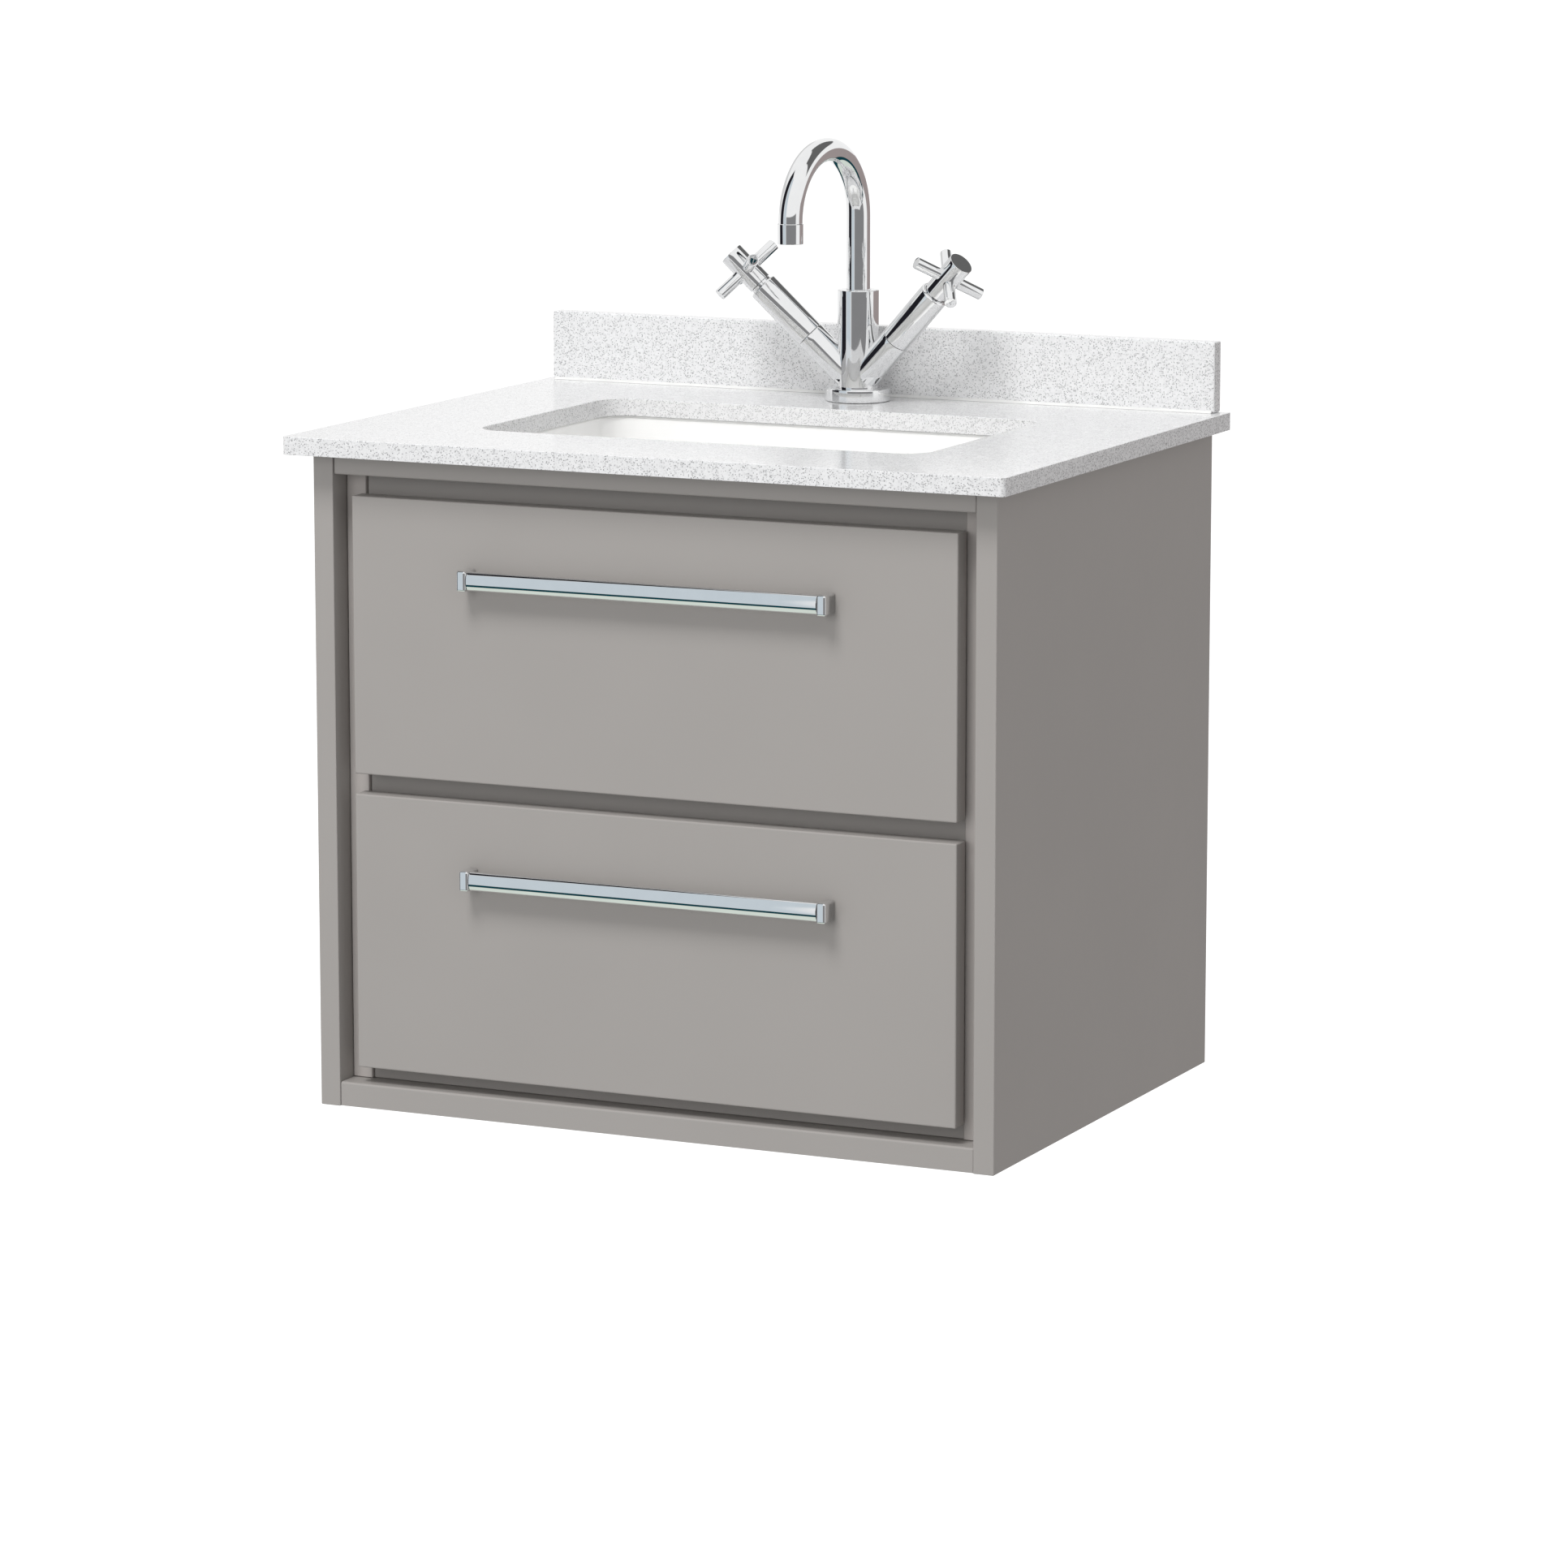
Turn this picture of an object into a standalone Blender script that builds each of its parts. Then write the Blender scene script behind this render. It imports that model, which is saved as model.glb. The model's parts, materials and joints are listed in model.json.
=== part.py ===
"""Wall-hung bathroom vanity cabinet: two drawers, stone worktop, undermount basin and a mixer tap.

World frame, in metres: +X to the right, +Y into the wall, +Z up. The origin is on the wall plane,
at the middle of the hanging rail's back face. Pieces are placed by their distance `back` from the
cabinet's front plane and by their height `up` above the cabinet's underside.
"""

import math

import bmesh
import bpy
from mathutils import Matrix, Vector

# ---- driving sizes: cabinet ----
WIDTH = 0.610
DEPTH = 0.462
HEIGHT = 0.547
BOARD = 0.018
GAP = 0.0003
EASE = 0.0006
HALF = WIDTH / 2
INNER = HALF - BOARD
RAIL_SETBACK = 0.001
TOP_RAIL_HIGH = 0.0167
BOTTOM_RAIL_HIGH = 0.0207
BOTTOM_RAIL_EASE = 0.0015
CARCASS_BACK = 0.023
CARCASS_UP = BOTTOM_RAIL_HIGH + GAP
CARCASS_BOARD = 0.018
RECESS_BACK = 0.026
RECESS_TOP_UP = 0.500
RECESS_MIDDLE_UP = 0.256
RECESS_MIDDLE_HIGH = 0.036
CLEAR = INNER - GAP - CARCASS_BOARD
BACK_PANEL_THICK = 0.008
BACK_PANEL_BACK = 0.434
BACK_PANEL_TOP_UP = 0.425
WASTE_WAY_RADIUS = 0.030
SUPPLY_WAY_ASIDE = 0.120
SUPPLY_WAY_RADIUS = 0.018
HANGING_RAIL_UP = 0.475
HANGING_RAIL_HIGH = 0.090
HANGER_LEG = 0.040
HANGER_PLATE = 0.003
HANGER_HIGH = 0.070

# ---- driving sizes: drawers ----
FRONT_BACK = 0.002
FRONT_HALF = 0.2708
FRONT_HIGH = 0.231
LOWER_FRONT_UP = 0.0345
UPPER_FRONT_UP = 0.2822
BOX_SIDE = 0.012
BOX_BOTTOM = 0.008
BOTTOM_RAISE = 0.004
BOX_END = 0.430
LOWER_BOX_UP = 0.045
LOWER_BOX_HIGH = 0.170
UPPER_BOX_UP = 0.296
UPPER_BOX_HIGH = 0.084
TRAP_WAY_HALF = 0.060
TRAP_WAY_START = 0.150

# ---- driving sizes: runners ----
RUNNER_START = 0.030
RUNNER_LONG = 0.395
RUNNER_WIDE = 0.0125
RUNNER_HALF_HIGH = 0.0225
CABINET_LIP = 0.0100
MIDDLE_LIP = 0.0080
MEMBER_PLAY = 0.0005
STEEL = 0.0013
LOWER_RUNNER_UP = 0.130
UPPER_RUNNER_UP = 0.338

# ---- driving sizes: handles ----
BAR_HIGH = 0.016
BAR_DEEP = 0.008
BAR_FACE_DEEP = 0.0045
BAR_SETBACK = 0.0008
HANDLE_HALF = 0.165
POST_WIDE = 0.0085
POST_OVER = 0.0006
HANDLE_PROUD = 0.0185
HANDLE_DROP = 0.062

# ---- driving sizes: worktop, upstand and basin ----
SLAB_THICK = 0.015
SLAB_EASE = 0.0018
SLAB_CORNER = 0.004
SLAB_CORNER_STEPS = 4
SIDE_OVERHANG = 0.016
FRONT_OVERHANG = 0.024
SLAB_UP = HEIGHT + GAP
SLAB_TOP = SLAB_UP + SLAB_THICK
UPSTAND_HALF = 0.312
UPSTAND_HIGH = 0.060
UPSTAND_THICK = 0.015
CUTOUT_HALF = 0.202
CUTOUT_FRONT = 0.085
CUTOUT_REAR = 0.340
CUTOUT_RADIUS = 0.024
CUTOUT_BACK = (CUTOUT_FRONT + CUTOUT_REAR) / 2
CUTOUT_HALF_DEEP = (CUTOUT_REAR - CUTOUT_FRONT) / 2
BOWL_DEEP = 0.138
BOWL_WALL = 0.009
BASIN_RIM = 0.022
BASIN_RIM_THICK = 0.0098
BASIN_RIM_RADIUS = 0.038
WASTE_BACK = 0.222
WASTE_HOLE = 0.0225
WASTE_LONG = 0.055
WASTE_BORE = 0.0165
BOWL_FLOOR_UP = SLAB_UP - GAP - BOWL_DEEP
TRAP_TOP_UP = BOWL_FLOOR_UP - WASTE_LONG - GAP
OUTLET_UP = TRAP_TOP_UP - 0.022
OUTLET_START = WASTE_BACK + 0.052
OUTLET_END = 0.458

# ---- driving sizes: tap ----
TAP_BACK = 0.410
TAP_HOLE = 0.0175
FLANGE_RADIUS = 0.0278
FLANGE_HIGH = 0.011
COLUMN_RADIUS = 0.0178
COLUMN_HIGH = 0.084
ARM_RADIUS = 0.0130
ARM_SEAM = 0.059
ARM_COLLAR = 0.118
ARM_END = 0.1565
HUB_RADIUS = 0.0108
PIN_RADIUS = 0.0052
PIN_REACH = 0.033
PIN_ALONG = 0.137
ARM_APEX_UP = 0.0135
ARM_ASIDE = 0.107
ARM_FORWARD = 0.027
ARM_RISE = 0.110
COLD_PIN_TURN = 52.0
HOT_PIN_TURN = 28.0
SPOUT_RADIUS = 0.0102
SPOUT_SOCKET = 0.030
SPOUT_ARC = 0.972 * math.pi
SPOUT_REACH = 0.138
ARCH_UP = 0.158
ARCH_RISE = 0.0605
AERATOR_RADIUS = 0.0108
AERATOR_LONG = 0.0172
SHANK_RADIUS = 0.013
SHANK_LONG = 0.060
INLET_RADIUS = 0.0042
INLET_DEEP = 0.015

# colour, roughness, metallic
FINISHES = {
    "matt_board": ((0.36, 0.34, 0.32), 0.55, 0.0),
    "inner_board": ((0.30, 0.28, 0.27), 0.6, 0.0),
    "drawer_board": ((0.55, 0.54, 0.52), 0.5, 0.0),
    "quartz": ((0.85, 0.85, 0.85), 0.2, 0.0),
    "ceramic": ((0.92, 0.92, 0.91), 0.08, 0.0),
    "chrome": ((0.75, 0.76, 0.77), 0.06, 1.0),
    "zinc_steel": ((0.55, 0.56, 0.57), 0.35, 1.0),
    "trap_plastic": ((0.88, 0.88, 0.87), 0.4, 0.0),
}


def clear_scene():
    """Removes every object that is already in the scene."""
    for obj in list(bpy.data.objects):
        bpy.data.objects.remove(obj)


def at(x, back, up):
    """World point at x, `back` behind the front plane and `up` above the underside."""
    return Vector((x, back - DEPTH, up - HANGING_RAIL_UP))


def finish(name):
    """The named material, made the first time that it is asked for."""
    found = bpy.data.materials.get(name)
    if found:
        return found
    colour, roughness, metallic = FINISHES[name]
    material = bpy.data.materials.new(name)
    material.use_nodes = True
    shader = material.node_tree.nodes["Principled BSDF"]
    shader.inputs["Base Color"].default_value = (*colour, 1.0)
    shader.inputs["Roughness"].default_value = roughness
    shader.inputs["Metallic"].default_value = metallic
    return material


def joint_point(name, point):
    """An empty on a joint's axis, which the joint's pieces hang from."""
    empty = bpy.data.objects.new(name, None)
    empty.location = point
    bpy.context.scene.collection.objects.link(empty)
    return empty


def add_object(name, bm, material, origin=Vector(), parent=None, smooth_above=None):
    """Makes a named object from bm, whose points are relative to origin."""
    bmesh.ops.recalc_face_normals(bm, faces=bm.faces)
    mesh = bpy.data.meshes.new(name)
    bm.to_mesh(mesh)
    bm.free()
    mesh.materials.append(finish(material))
    if smooth_above is not None:
        mesh.shade_smooth()
        mesh.set_sharp_from_angle(angle=math.radians(smooth_above))
    obj = bpy.data.objects.new(name, mesh)
    bpy.context.scene.collection.objects.link(obj)
    if parent is None:
        obj.location = origin
    else:
        obj.parent = parent
        obj.location = origin - parent.location
    return obj


def box_mesh(low, high):
    """A bmesh box between two corners."""
    bm = bmesh.new()
    middle = (low + high) / 2
    size = high - low
    matrix = Matrix.Translation(middle) @ Matrix.Diagonal((*size, 1.0))
    bmesh.ops.create_cube(bm, size=1.0, matrix=matrix)
    return bm


def ease_edges(obj, width, segments=1):
    """Rounds every sharp edge of a piece by a small bevel."""
    bevel = obj.modifiers.new("eased_edges", "BEVEL")
    bevel.width = width
    bevel.segments = segments
    bevel.limit_method = "ANGLE"
    bevel.angle_limit = math.radians(40)


def board(name, low, high, material="matt_board", ease=EASE, segments=1, parent=None):
    """A flat board between two world corners, its origin at its middle."""
    middle = (low + high) / 2
    obj = add_object(name, box_mesh(low - middle, high - middle), material, middle, parent)
    if ease:
        ease_edges(obj, ease, segments)
    return obj


def prism(name, outline, direction, material, origin=Vector(), parent=None, smooth_above=None):
    """Extrudes a closed outline, a list of points around origin, along direction."""
    bm = bmesh.new()
    face = bm.faces.new([bm.verts.new(p) for p in outline])
    swept = bmesh.ops.extrude_face_region(bm, geom=[face])
    moved = [v for v in swept["geom"] if isinstance(v, bmesh.types.BMVert)]
    bmesh.ops.translate(bm, verts=moved, vec=direction)
    return add_object(name, bm, material, origin, parent, smooth_above)


def turned_mesh(profile, sides):
    """A closed bmesh turned about Z from (radius, height) pairs; a radius of 0 ends on the axis."""
    bm = bmesh.new()
    rings = []
    for radius, height in profile:
        if radius < 1e-7:
            rings.append([bm.verts.new((0, 0, height))])
            continue
        turns = [2 * math.pi * i / sides for i in range(sides)]
        rings.append([bm.verts.new((radius * math.cos(t), radius * math.sin(t), height)) for t in turns])
    closed = len(rings[0]) > 1 and len(rings[-1]) > 1
    pairs = list(zip(rings, rings[1:])) + ([(rings[-1], rings[0])] if closed else [])
    for lower, upper in pairs:
        if len(lower) == len(upper) == 1:
            continue
        for i in range(sides):
            j = (i + 1) % sides
            if len(lower) == 1:
                bm.faces.new((lower[0], upper[j], upper[i]))
            elif len(upper) == 1:
                bm.faces.new((lower[i], lower[j], upper[0]))
            else:
                bm.faces.new((lower[i], lower[j], upper[j], upper[i]))
    return bm


def turned(name, profile, material, origin, sides=32, rotation=None):
    """A turned piece whose axis is Z before rotation."""
    obj = add_object(name, turned_mesh(profile, sides), material, origin, smooth_above=35)
    if rotation is not None:
        obj.rotation_mode = "QUATERNION"
        obj.rotation_quaternion = rotation
    return obj


def join_to(obj, tool, operation):
    """Adds or cuts a hidden tool piece with an exact Boolean."""
    tool.hide_render = True
    tool.display_type = "WIRE"
    boolean = obj.modifiers.new(operation.lower(), "BOOLEAN")
    boolean.operation = operation
    boolean.object = tool
    boolean.solver = "EXACT"


def rod_tool(name, start, end, radius, sides=24):
    """A plain round rod between two world points, for joining or cutting."""
    along = end - start
    turn = along.to_track_quat("Z", "Y")
    profile = [(0, 0), (radius, 0), (radius, along.length), (0, along.length)]
    return turned(name, profile, "chrome", start, sides, turn)


def rounded_corners(half_x, half_y, radius, steps=6):
    """Points of a rectangle with round corners about (0, 0), anticlockwise."""
    points = []
    for turn, (sx, sy) in enumerate(((1, 1), (-1, 1), (-1, -1), (1, -1))):
        for i in range(steps + 1):
            angle = math.pi / 2 * (turn + i / steps)
            x = sx * (half_x - radius) + radius * math.cos(angle)
            y = sy * (half_y - radius) + radius * math.sin(angle)
            points.append(Vector((x, y, 0)))
    return points


def lofted(name, rings, material, origin, smooth_above=40):
    """A closed solid through rings of equal point counts, from the first to the last."""
    bm = bmesh.new()
    loops = [[bm.verts.new(p) for p in ring] for ring in rings]
    count = len(loops[0])
    for lower, upper in zip(loops, loops[1:]):
        for i in range(count):
            j = (i + 1) % count
            bm.faces.new((lower[i], lower[j], upper[j], upper[i]))
    bm.faces.new(reversed(loops[0]))
    bm.faces.new(loops[-1])
    return add_object(name, bm, material, origin, smooth_above=smooth_above)


# ---- cabinet ----


def end_panels():
    """The two full-height outer panels."""
    for side, name in ((-1, "end_panel_left"), (1, "end_panel_right")):
        inner, outer = side * INNER, side * HALF
        board(name, at(min(inner, outer), 0, 0), at(max(inner, outer), DEPTH, HEIGHT), segments=2)


def face_rails():
    """The two rails that close the face frame; the lower one reaches back under the bottom board."""
    edge = INNER - GAP
    low = at(-edge, RAIL_SETBACK, HEIGHT - TOP_RAIL_HIGH)
    board("face_rail_top", low, at(edge, CARCASS_BACK - GAP, HEIGHT), ease=0.001)
    high = at(edge, RECESS_BACK + BOARD, BOTTOM_RAIL_HIGH)
    board("face_rail_bottom", at(-edge, RAIL_SETBACK, GAP), high, ease=BOTTOM_RAIL_EASE, segments=2)


def carcass():
    """Inner box: sides, bottom and the two recessed rails behind the drawer gaps."""
    edge = INNER - GAP
    for side, name in ((-1, "carcass_side_left"), (1, "carcass_side_right")):
        x0, x1 = sorted((side * edge, side * (edge - CARCASS_BOARD)))
        board(name, at(x0, CARCASS_BACK, CARCASS_UP), at(x1, BACK_PANEL_BACK + BACK_PANEL_THICK, HEIGHT))
    span = CLEAR - GAP
    high = at(span, BACK_PANEL_BACK - GAP, CARCASS_UP + CARCASS_BOARD)
    board("carcass_bottom", at(-span, RECESS_BACK, CARCASS_UP), high)
    rear = RECESS_BACK + BOARD
    high = at(span, rear, HEIGHT - GAP)
    board("recess_rail_top", at(-span, RECESS_BACK, RECESS_TOP_UP), high, "inner_board")
    high = at(span, rear, RECESS_MIDDLE_UP + RECESS_MIDDLE_HIGH)
    board("recess_rail_middle", at(-span, RECESS_BACK, RECESS_MIDDLE_UP), high, "inner_board")


def back_panel():
    """Thin back with a round way for the waste pipe and one for each supply pipe."""
    span = CLEAR - GAP
    low = at(-span, BACK_PANEL_BACK, CARCASS_UP)
    high = at(span, BACK_PANEL_BACK + BACK_PANEL_THICK, BACK_PANEL_TOP_UP)
    panel = board("back_panel", low, high, "inner_board", ease=0)
    ways = (("waste", 0, WASTE_WAY_RADIUS), ("hot", -SUPPLY_WAY_ASIDE, SUPPLY_WAY_RADIUS),
            ("cold", SUPPLY_WAY_ASIDE, SUPPLY_WAY_RADIUS))
    for tag, x, radius in ways:
        start = at(x, BACK_PANEL_BACK - 0.01, OUTLET_UP)
        way = rod_tool(f"{tag}_pipe_way", start, start + Vector((0, 0.03, 0)), radius)
        join_to(panel, way, "DIFFERENCE")


def hanging_rail():
    """The board against the wall that carries the cabinet."""
    edge = INNER - GAP
    low = at(-edge, DEPTH - BOARD, HANGING_RAIL_UP - HANGING_RAIL_HIGH / 2)
    high = at(edge, DEPTH, HANGING_RAIL_UP + HANGING_RAIL_HIGH / 2)
    board("hanging_rail", low, high)


def hangers():
    """Steel brackets that tie each carcass side to the hanging rail."""
    wall = CLEAR - GAP
    rail = DEPTH - BOARD - GAP
    foot = HANGING_RAIL_UP - HANGER_HIGH / 2
    plan = ((0, HANGER_LEG), (HANGER_PLATE, HANGER_LEG), (HANGER_PLATE, HANGER_PLATE),
            (HANGER_LEG, HANGER_PLATE), (HANGER_LEG, 0), (0, 0))
    for side, name in ((-1, "hanger_left"), (1, "hanger_right")):
        outline = [Vector((-side * inward, -forward, 0)) for inward, forward in plan]
        prism(name, outline, Vector((0, 0, HANGER_HIGH)), "zinc_steel", at(side * wall, rail, foot))


# ---- drawers and their runners ----


def drawer_front(tag, up, slide):
    """A slab front, a little behind the face frame's front plane."""
    low = at(-FRONT_HALF, FRONT_BACK, up)
    high = at(FRONT_HALF, FRONT_BACK + BOARD, up + FRONT_HIGH)
    board(f"{tag}_drawer_front", low, high, ease=0.0012, segments=2, parent=slide)


def drawer_handle(tag, up, slide):
    """A bar with a rounded face between two square posts."""
    face = FRONT_BACK - GAP
    bar_half = HANDLE_HALF - POST_WIDE - GAP
    corner = at(-bar_half, face - HANDLE_PROUD + BAR_SETBACK, up)
    outline = [Vector((0, BAR_DEEP, BAR_HIGH / 2)), Vector((0, BAR_DEEP, -BAR_HIGH / 2))]
    for i in range(9):
        angle = math.pi * (i / 8 - 0.5)
        outline.append(Vector((0, BAR_FACE_DEEP * (1 - math.cos(angle)), math.sin(angle) * BAR_HIGH / 2)))
    along = Vector((2 * bar_half, 0, 0))
    prism(f"{tag}_handle_bar", outline, along, "chrome", corner, slide, smooth_above=30)
    for side, name in ((-1, "left"), (1, "right")):
        x0, x1 = sorted((side * (HANDLE_HALF - POST_WIDE), side * HANDLE_HALF))
        low = at(x0, face - HANDLE_PROUD, up - BAR_HIGH / 2 - POST_OVER)
        high = at(x1, face, up + BAR_HIGH / 2 + POST_OVER)
        board(f"{tag}_handle_post_{name}", low, high, "chrome", ease=0.0018, segments=2, parent=slide)


def drawer_sides(tag, up, high, slide):
    """The two long sides of a drawer box."""
    start = FRONT_BACK + BOARD + GAP
    outer = CLEAR - RUNNER_WIDE - 2 * GAP
    for side, name in ((-1, "left"), (1, "right")):
        x0, x1 = sorted((side * outer, side * (outer - BOX_SIDE)))
        low, top = at(x0, start, up), at(x1, BOX_END, up + high)
        board(f"{tag}_drawer_side_{name}", low, top, "drawer_board", ease=0, parent=slide)


def box_inner_half():
    """Half the clear width between a drawer box's sides."""
    return CLEAR - RUNNER_WIDE - 2 * GAP - BOX_SIDE - GAP


def lower_drawer(slide):
    """The full-height lower drawer."""
    drawer_front("lower", LOWER_FRONT_UP, slide)
    drawer_handle("lower", LOWER_FRONT_UP + FRONT_HIGH - HANDLE_DROP, slide)
    drawer_sides("lower", LOWER_BOX_UP, LOWER_BOX_HIGH, slide)
    start = FRONT_BACK + BOARD + GAP
    inner = box_inner_half()
    floor = LOWER_BOX_UP + BOTTOM_RAISE
    rear = BOX_END - BOX_SIDE
    low = at(-inner, start, floor)
    high = at(inner, BOX_END, floor + BOX_BOTTOM)
    board("lower_drawer_bottom", low, high, "drawer_board", ease=0, parent=slide)
    low = at(-inner, rear, floor + BOX_BOTTOM + GAP)
    high = at(inner, BOX_END, LOWER_BOX_UP + LOWER_BOX_HIGH)
    board("lower_drawer_back", low, high, "drawer_board", ease=0, parent=slide)


def upper_drawer(slide):
    """The low upper drawer, with a way through it for the waste and its trap."""
    drawer_front("upper", UPPER_FRONT_UP, slide)
    drawer_handle("upper", UPPER_FRONT_UP + FRONT_HIGH - HANDLE_DROP, slide)
    drawer_sides("upper", UPPER_BOX_UP, UPPER_BOX_HIGH, slide)
    start = FRONT_BACK + BOARD + GAP
    inner = box_inner_half()
    floor = UPPER_BOX_UP + BOTTOM_RAISE
    way, way_start = TRAP_WAY_HALF, TRAP_WAY_START
    plan = ((-inner, start), (inner, start), (inner, BOX_END), (way, BOX_END),
            (way, way_start), (-way, way_start), (-way, BOX_END), (-inner, BOX_END))
    corner = at(0, 0, floor)
    outline = [at(x, back, floor) - corner for x, back in plan]
    prism("upper_drawer_bottom", outline, Vector((0, 0, BOX_BOTTOM)), "drawer_board", corner, slide)
    wall = BOX_SIDE * 0.75
    rear = BOX_END - BOX_SIDE
    plan = ((-inner, BOX_END), (-inner, rear), (-way - wall, rear), (-way - wall, way_start - wall),
            (way + wall, way_start - wall), (way + wall, rear), (inner, rear), (inner, BOX_END),
            (way, BOX_END), (way, way_start), (-way, way_start), (-way, BOX_END))
    floor += BOX_BOTTOM + GAP
    corner = at(0, 0, floor)
    outline = [at(x, back, floor) - corner for x, back in plan]
    rise = Vector((0, 0, UPPER_BOX_UP + UPPER_BOX_HIGH - floor))
    prism("upper_drawer_back", outline, rise, "drawer_board", corner, slide)


def channel(name, side, web, lip, half_high, up, parent=None):
    """A long steel channel: its web at x = web, its flanges reaching to x = lip."""
    wall = STEEL if lip > web else -STEEL
    clear_high = half_high - STEEL
    plan = ((web, half_high), (lip, half_high), (lip, clear_high), (web + wall, clear_high),
            (web + wall, -clear_high), (lip, -clear_high), (lip, -half_high), (web, -half_high))
    corner = at(side * web, RUNNER_START, up)
    outline = [at(side * x, RUNNER_START, up + z) - corner for x, z in plan]
    return prism(name, outline, Vector((0, RUNNER_LONG, 0)), "zinc_steel", corner, parent)


def runners(tag, up, slide, middle_slide):
    """A pair of three-part telescopic runners, one on each side of a drawer."""
    fixed = CLEAR - GAP
    step = STEEL + MEMBER_PLAY
    half = RUNNER_HALF_HIGH
    middle = fixed - step
    middle_lip = middle - MIDDLE_LIP
    drawer = fixed - RUNNER_WIDE + GAP
    for side, name in ((-1, "left"), (1, "right")):
        channel(f"{tag}_runner_cabinet_{name}", side, fixed, fixed - CABINET_LIP, half, up)
        channel(f"{tag}_runner_middle_{name}", side, middle, middle_lip, half - step, up, middle_slide)
        channel(f"{tag}_runner_drawer_{name}", side, drawer, middle - step, half - 2 * step, up, slide)


# ---- worktop, upstand and basin ----


def slab_plan(half, half_deep):
    """The slab's outline about its middle: square at the wall, slightly rounded in front."""
    plan = [Vector((half, half_deep, 0)), Vector((-half, half_deep, 0))]
    for turn, side in ((2, -1), (3, 1)):
        for i in range(SLAB_CORNER_STEPS + 1):
            angle = math.pi / 2 * (turn + i / SLAB_CORNER_STEPS)
            x = side * (half - SLAB_CORNER) + SLAB_CORNER * math.cos(angle)
            y = SLAB_CORNER - half_deep + SLAB_CORNER * math.sin(angle)
            plan.append(Vector((x, y, 0)))
    return plan


def slab_ring(plan, inset, height):
    """The outline at one height, drawn in by `inset` on every side but the wall side."""
    half = max(p.x for p in plan)
    half_deep = max(p.y for p in plan)
    ring = []
    for p in plan:
        y = p.y if p.y == half_deep else p.y * (1 - inset / half_deep)
        ring.append(Vector((p.x * (1 - inset / half), y, height)))
    return ring


def worktop():
    """The stone slab with its basin cut-out and tap hole."""
    plan = slab_plan(HALF + SIDE_OVERHANG, (DEPTH + FRONT_OVERHANG) / 2)
    turn = 0.4 * SLAB_EASE
    rings = [
        slab_ring(plan, 0, 0),
        slab_ring(plan, 0, SLAB_THICK - SLAB_EASE),
        slab_ring(plan, turn, SLAB_THICK - turn),
        slab_ring(plan, SLAB_EASE, SLAB_THICK),
    ]
    middle = at(0, (DEPTH - FRONT_OVERHANG) / 2, SLAB_UP)
    slab = lofted("worktop", rings, "quartz", middle, smooth_above=20)
    through = Vector((0, 0, 0.04))
    outline = rounded_corners(CUTOUT_HALF, CUTOUT_HALF_DEEP, CUTOUT_RADIUS)
    start = at(0, CUTOUT_BACK, SLAB_UP - 0.01)
    join_to(slab, prism("basin_cutout", outline, through, "quartz", start), "DIFFERENCE")
    hole = at(0, TAP_BACK, SLAB_UP - 0.01)
    join_to(slab, rod_tool("tap_hole", hole, hole + through, TAP_HOLE), "DIFFERENCE")


def upstand():
    """The stone strip that stands on the worktop against the wall."""
    low = at(-UPSTAND_HALF, DEPTH - UPSTAND_THICK, SLAB_TOP + GAP)
    high = at(UPSTAND_HALF, DEPTH, SLAB_TOP + GAP + UPSTAND_HIGH)
    board("upstand", low, high, "quartz", ease=0.0012, segments=2)


def bowl_rings(grow, top, floor, radius):
    """Rings of the bowl, from its floor up to its rim, `grow` wider than the cut-out."""
    half_x = CUTOUT_HALF + grow
    half_y = CUTOUT_HALF_DEEP + grow
    rings = []
    for fraction, shrink in ((0.0, 0.052), (0.04, 0.030), (0.14, 0.014), (0.34, 0.006), (1.0, 0.0)):
        height = floor + fraction * (top - floor)
        corner = radius + shrink * 0.6
        ring = rounded_corners(half_x - shrink, half_y - shrink, corner)
        rings.append([p + Vector((0, 0, height)) for p in ring])
    return rings


def basin():
    """The undermount bowl: a rim glued under the worktop, walls and a floor with a waste hole."""
    rim_top = SLAB_UP - GAP
    middle = at(0, CUTOUT_BACK, rim_top)
    outer = bowl_rings(BOWL_WALL + 0.002, -0.010, -BOWL_DEEP - BOWL_WALL, 0.034)
    rim = rounded_corners(CUTOUT_HALF + BASIN_RIM, CUTOUT_HALF_DEEP + BASIN_RIM, BASIN_RIM_RADIUS)
    for height in (-BASIN_RIM_THICK, 0.0):
        outer.append([p + Vector((0, 0, height)) for p in rim])
    bowl = lofted("basin", outer, "ceramic", middle)
    inner = lofted("bowl_hollow", bowl_rings(0.002, 0.005, -BOWL_DEEP, 0.026), "ceramic", middle)
    join_to(bowl, inner, "DIFFERENCE")
    hole = at(0, WASTE_BACK, SLAB_UP - BOWL_DEEP - 0.05)
    join_to(bowl, rod_tool("waste_hole", hole, hole + Vector((0, 0, 0.1)), WASTE_HOLE, 28), "DIFFERENCE")


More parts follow.
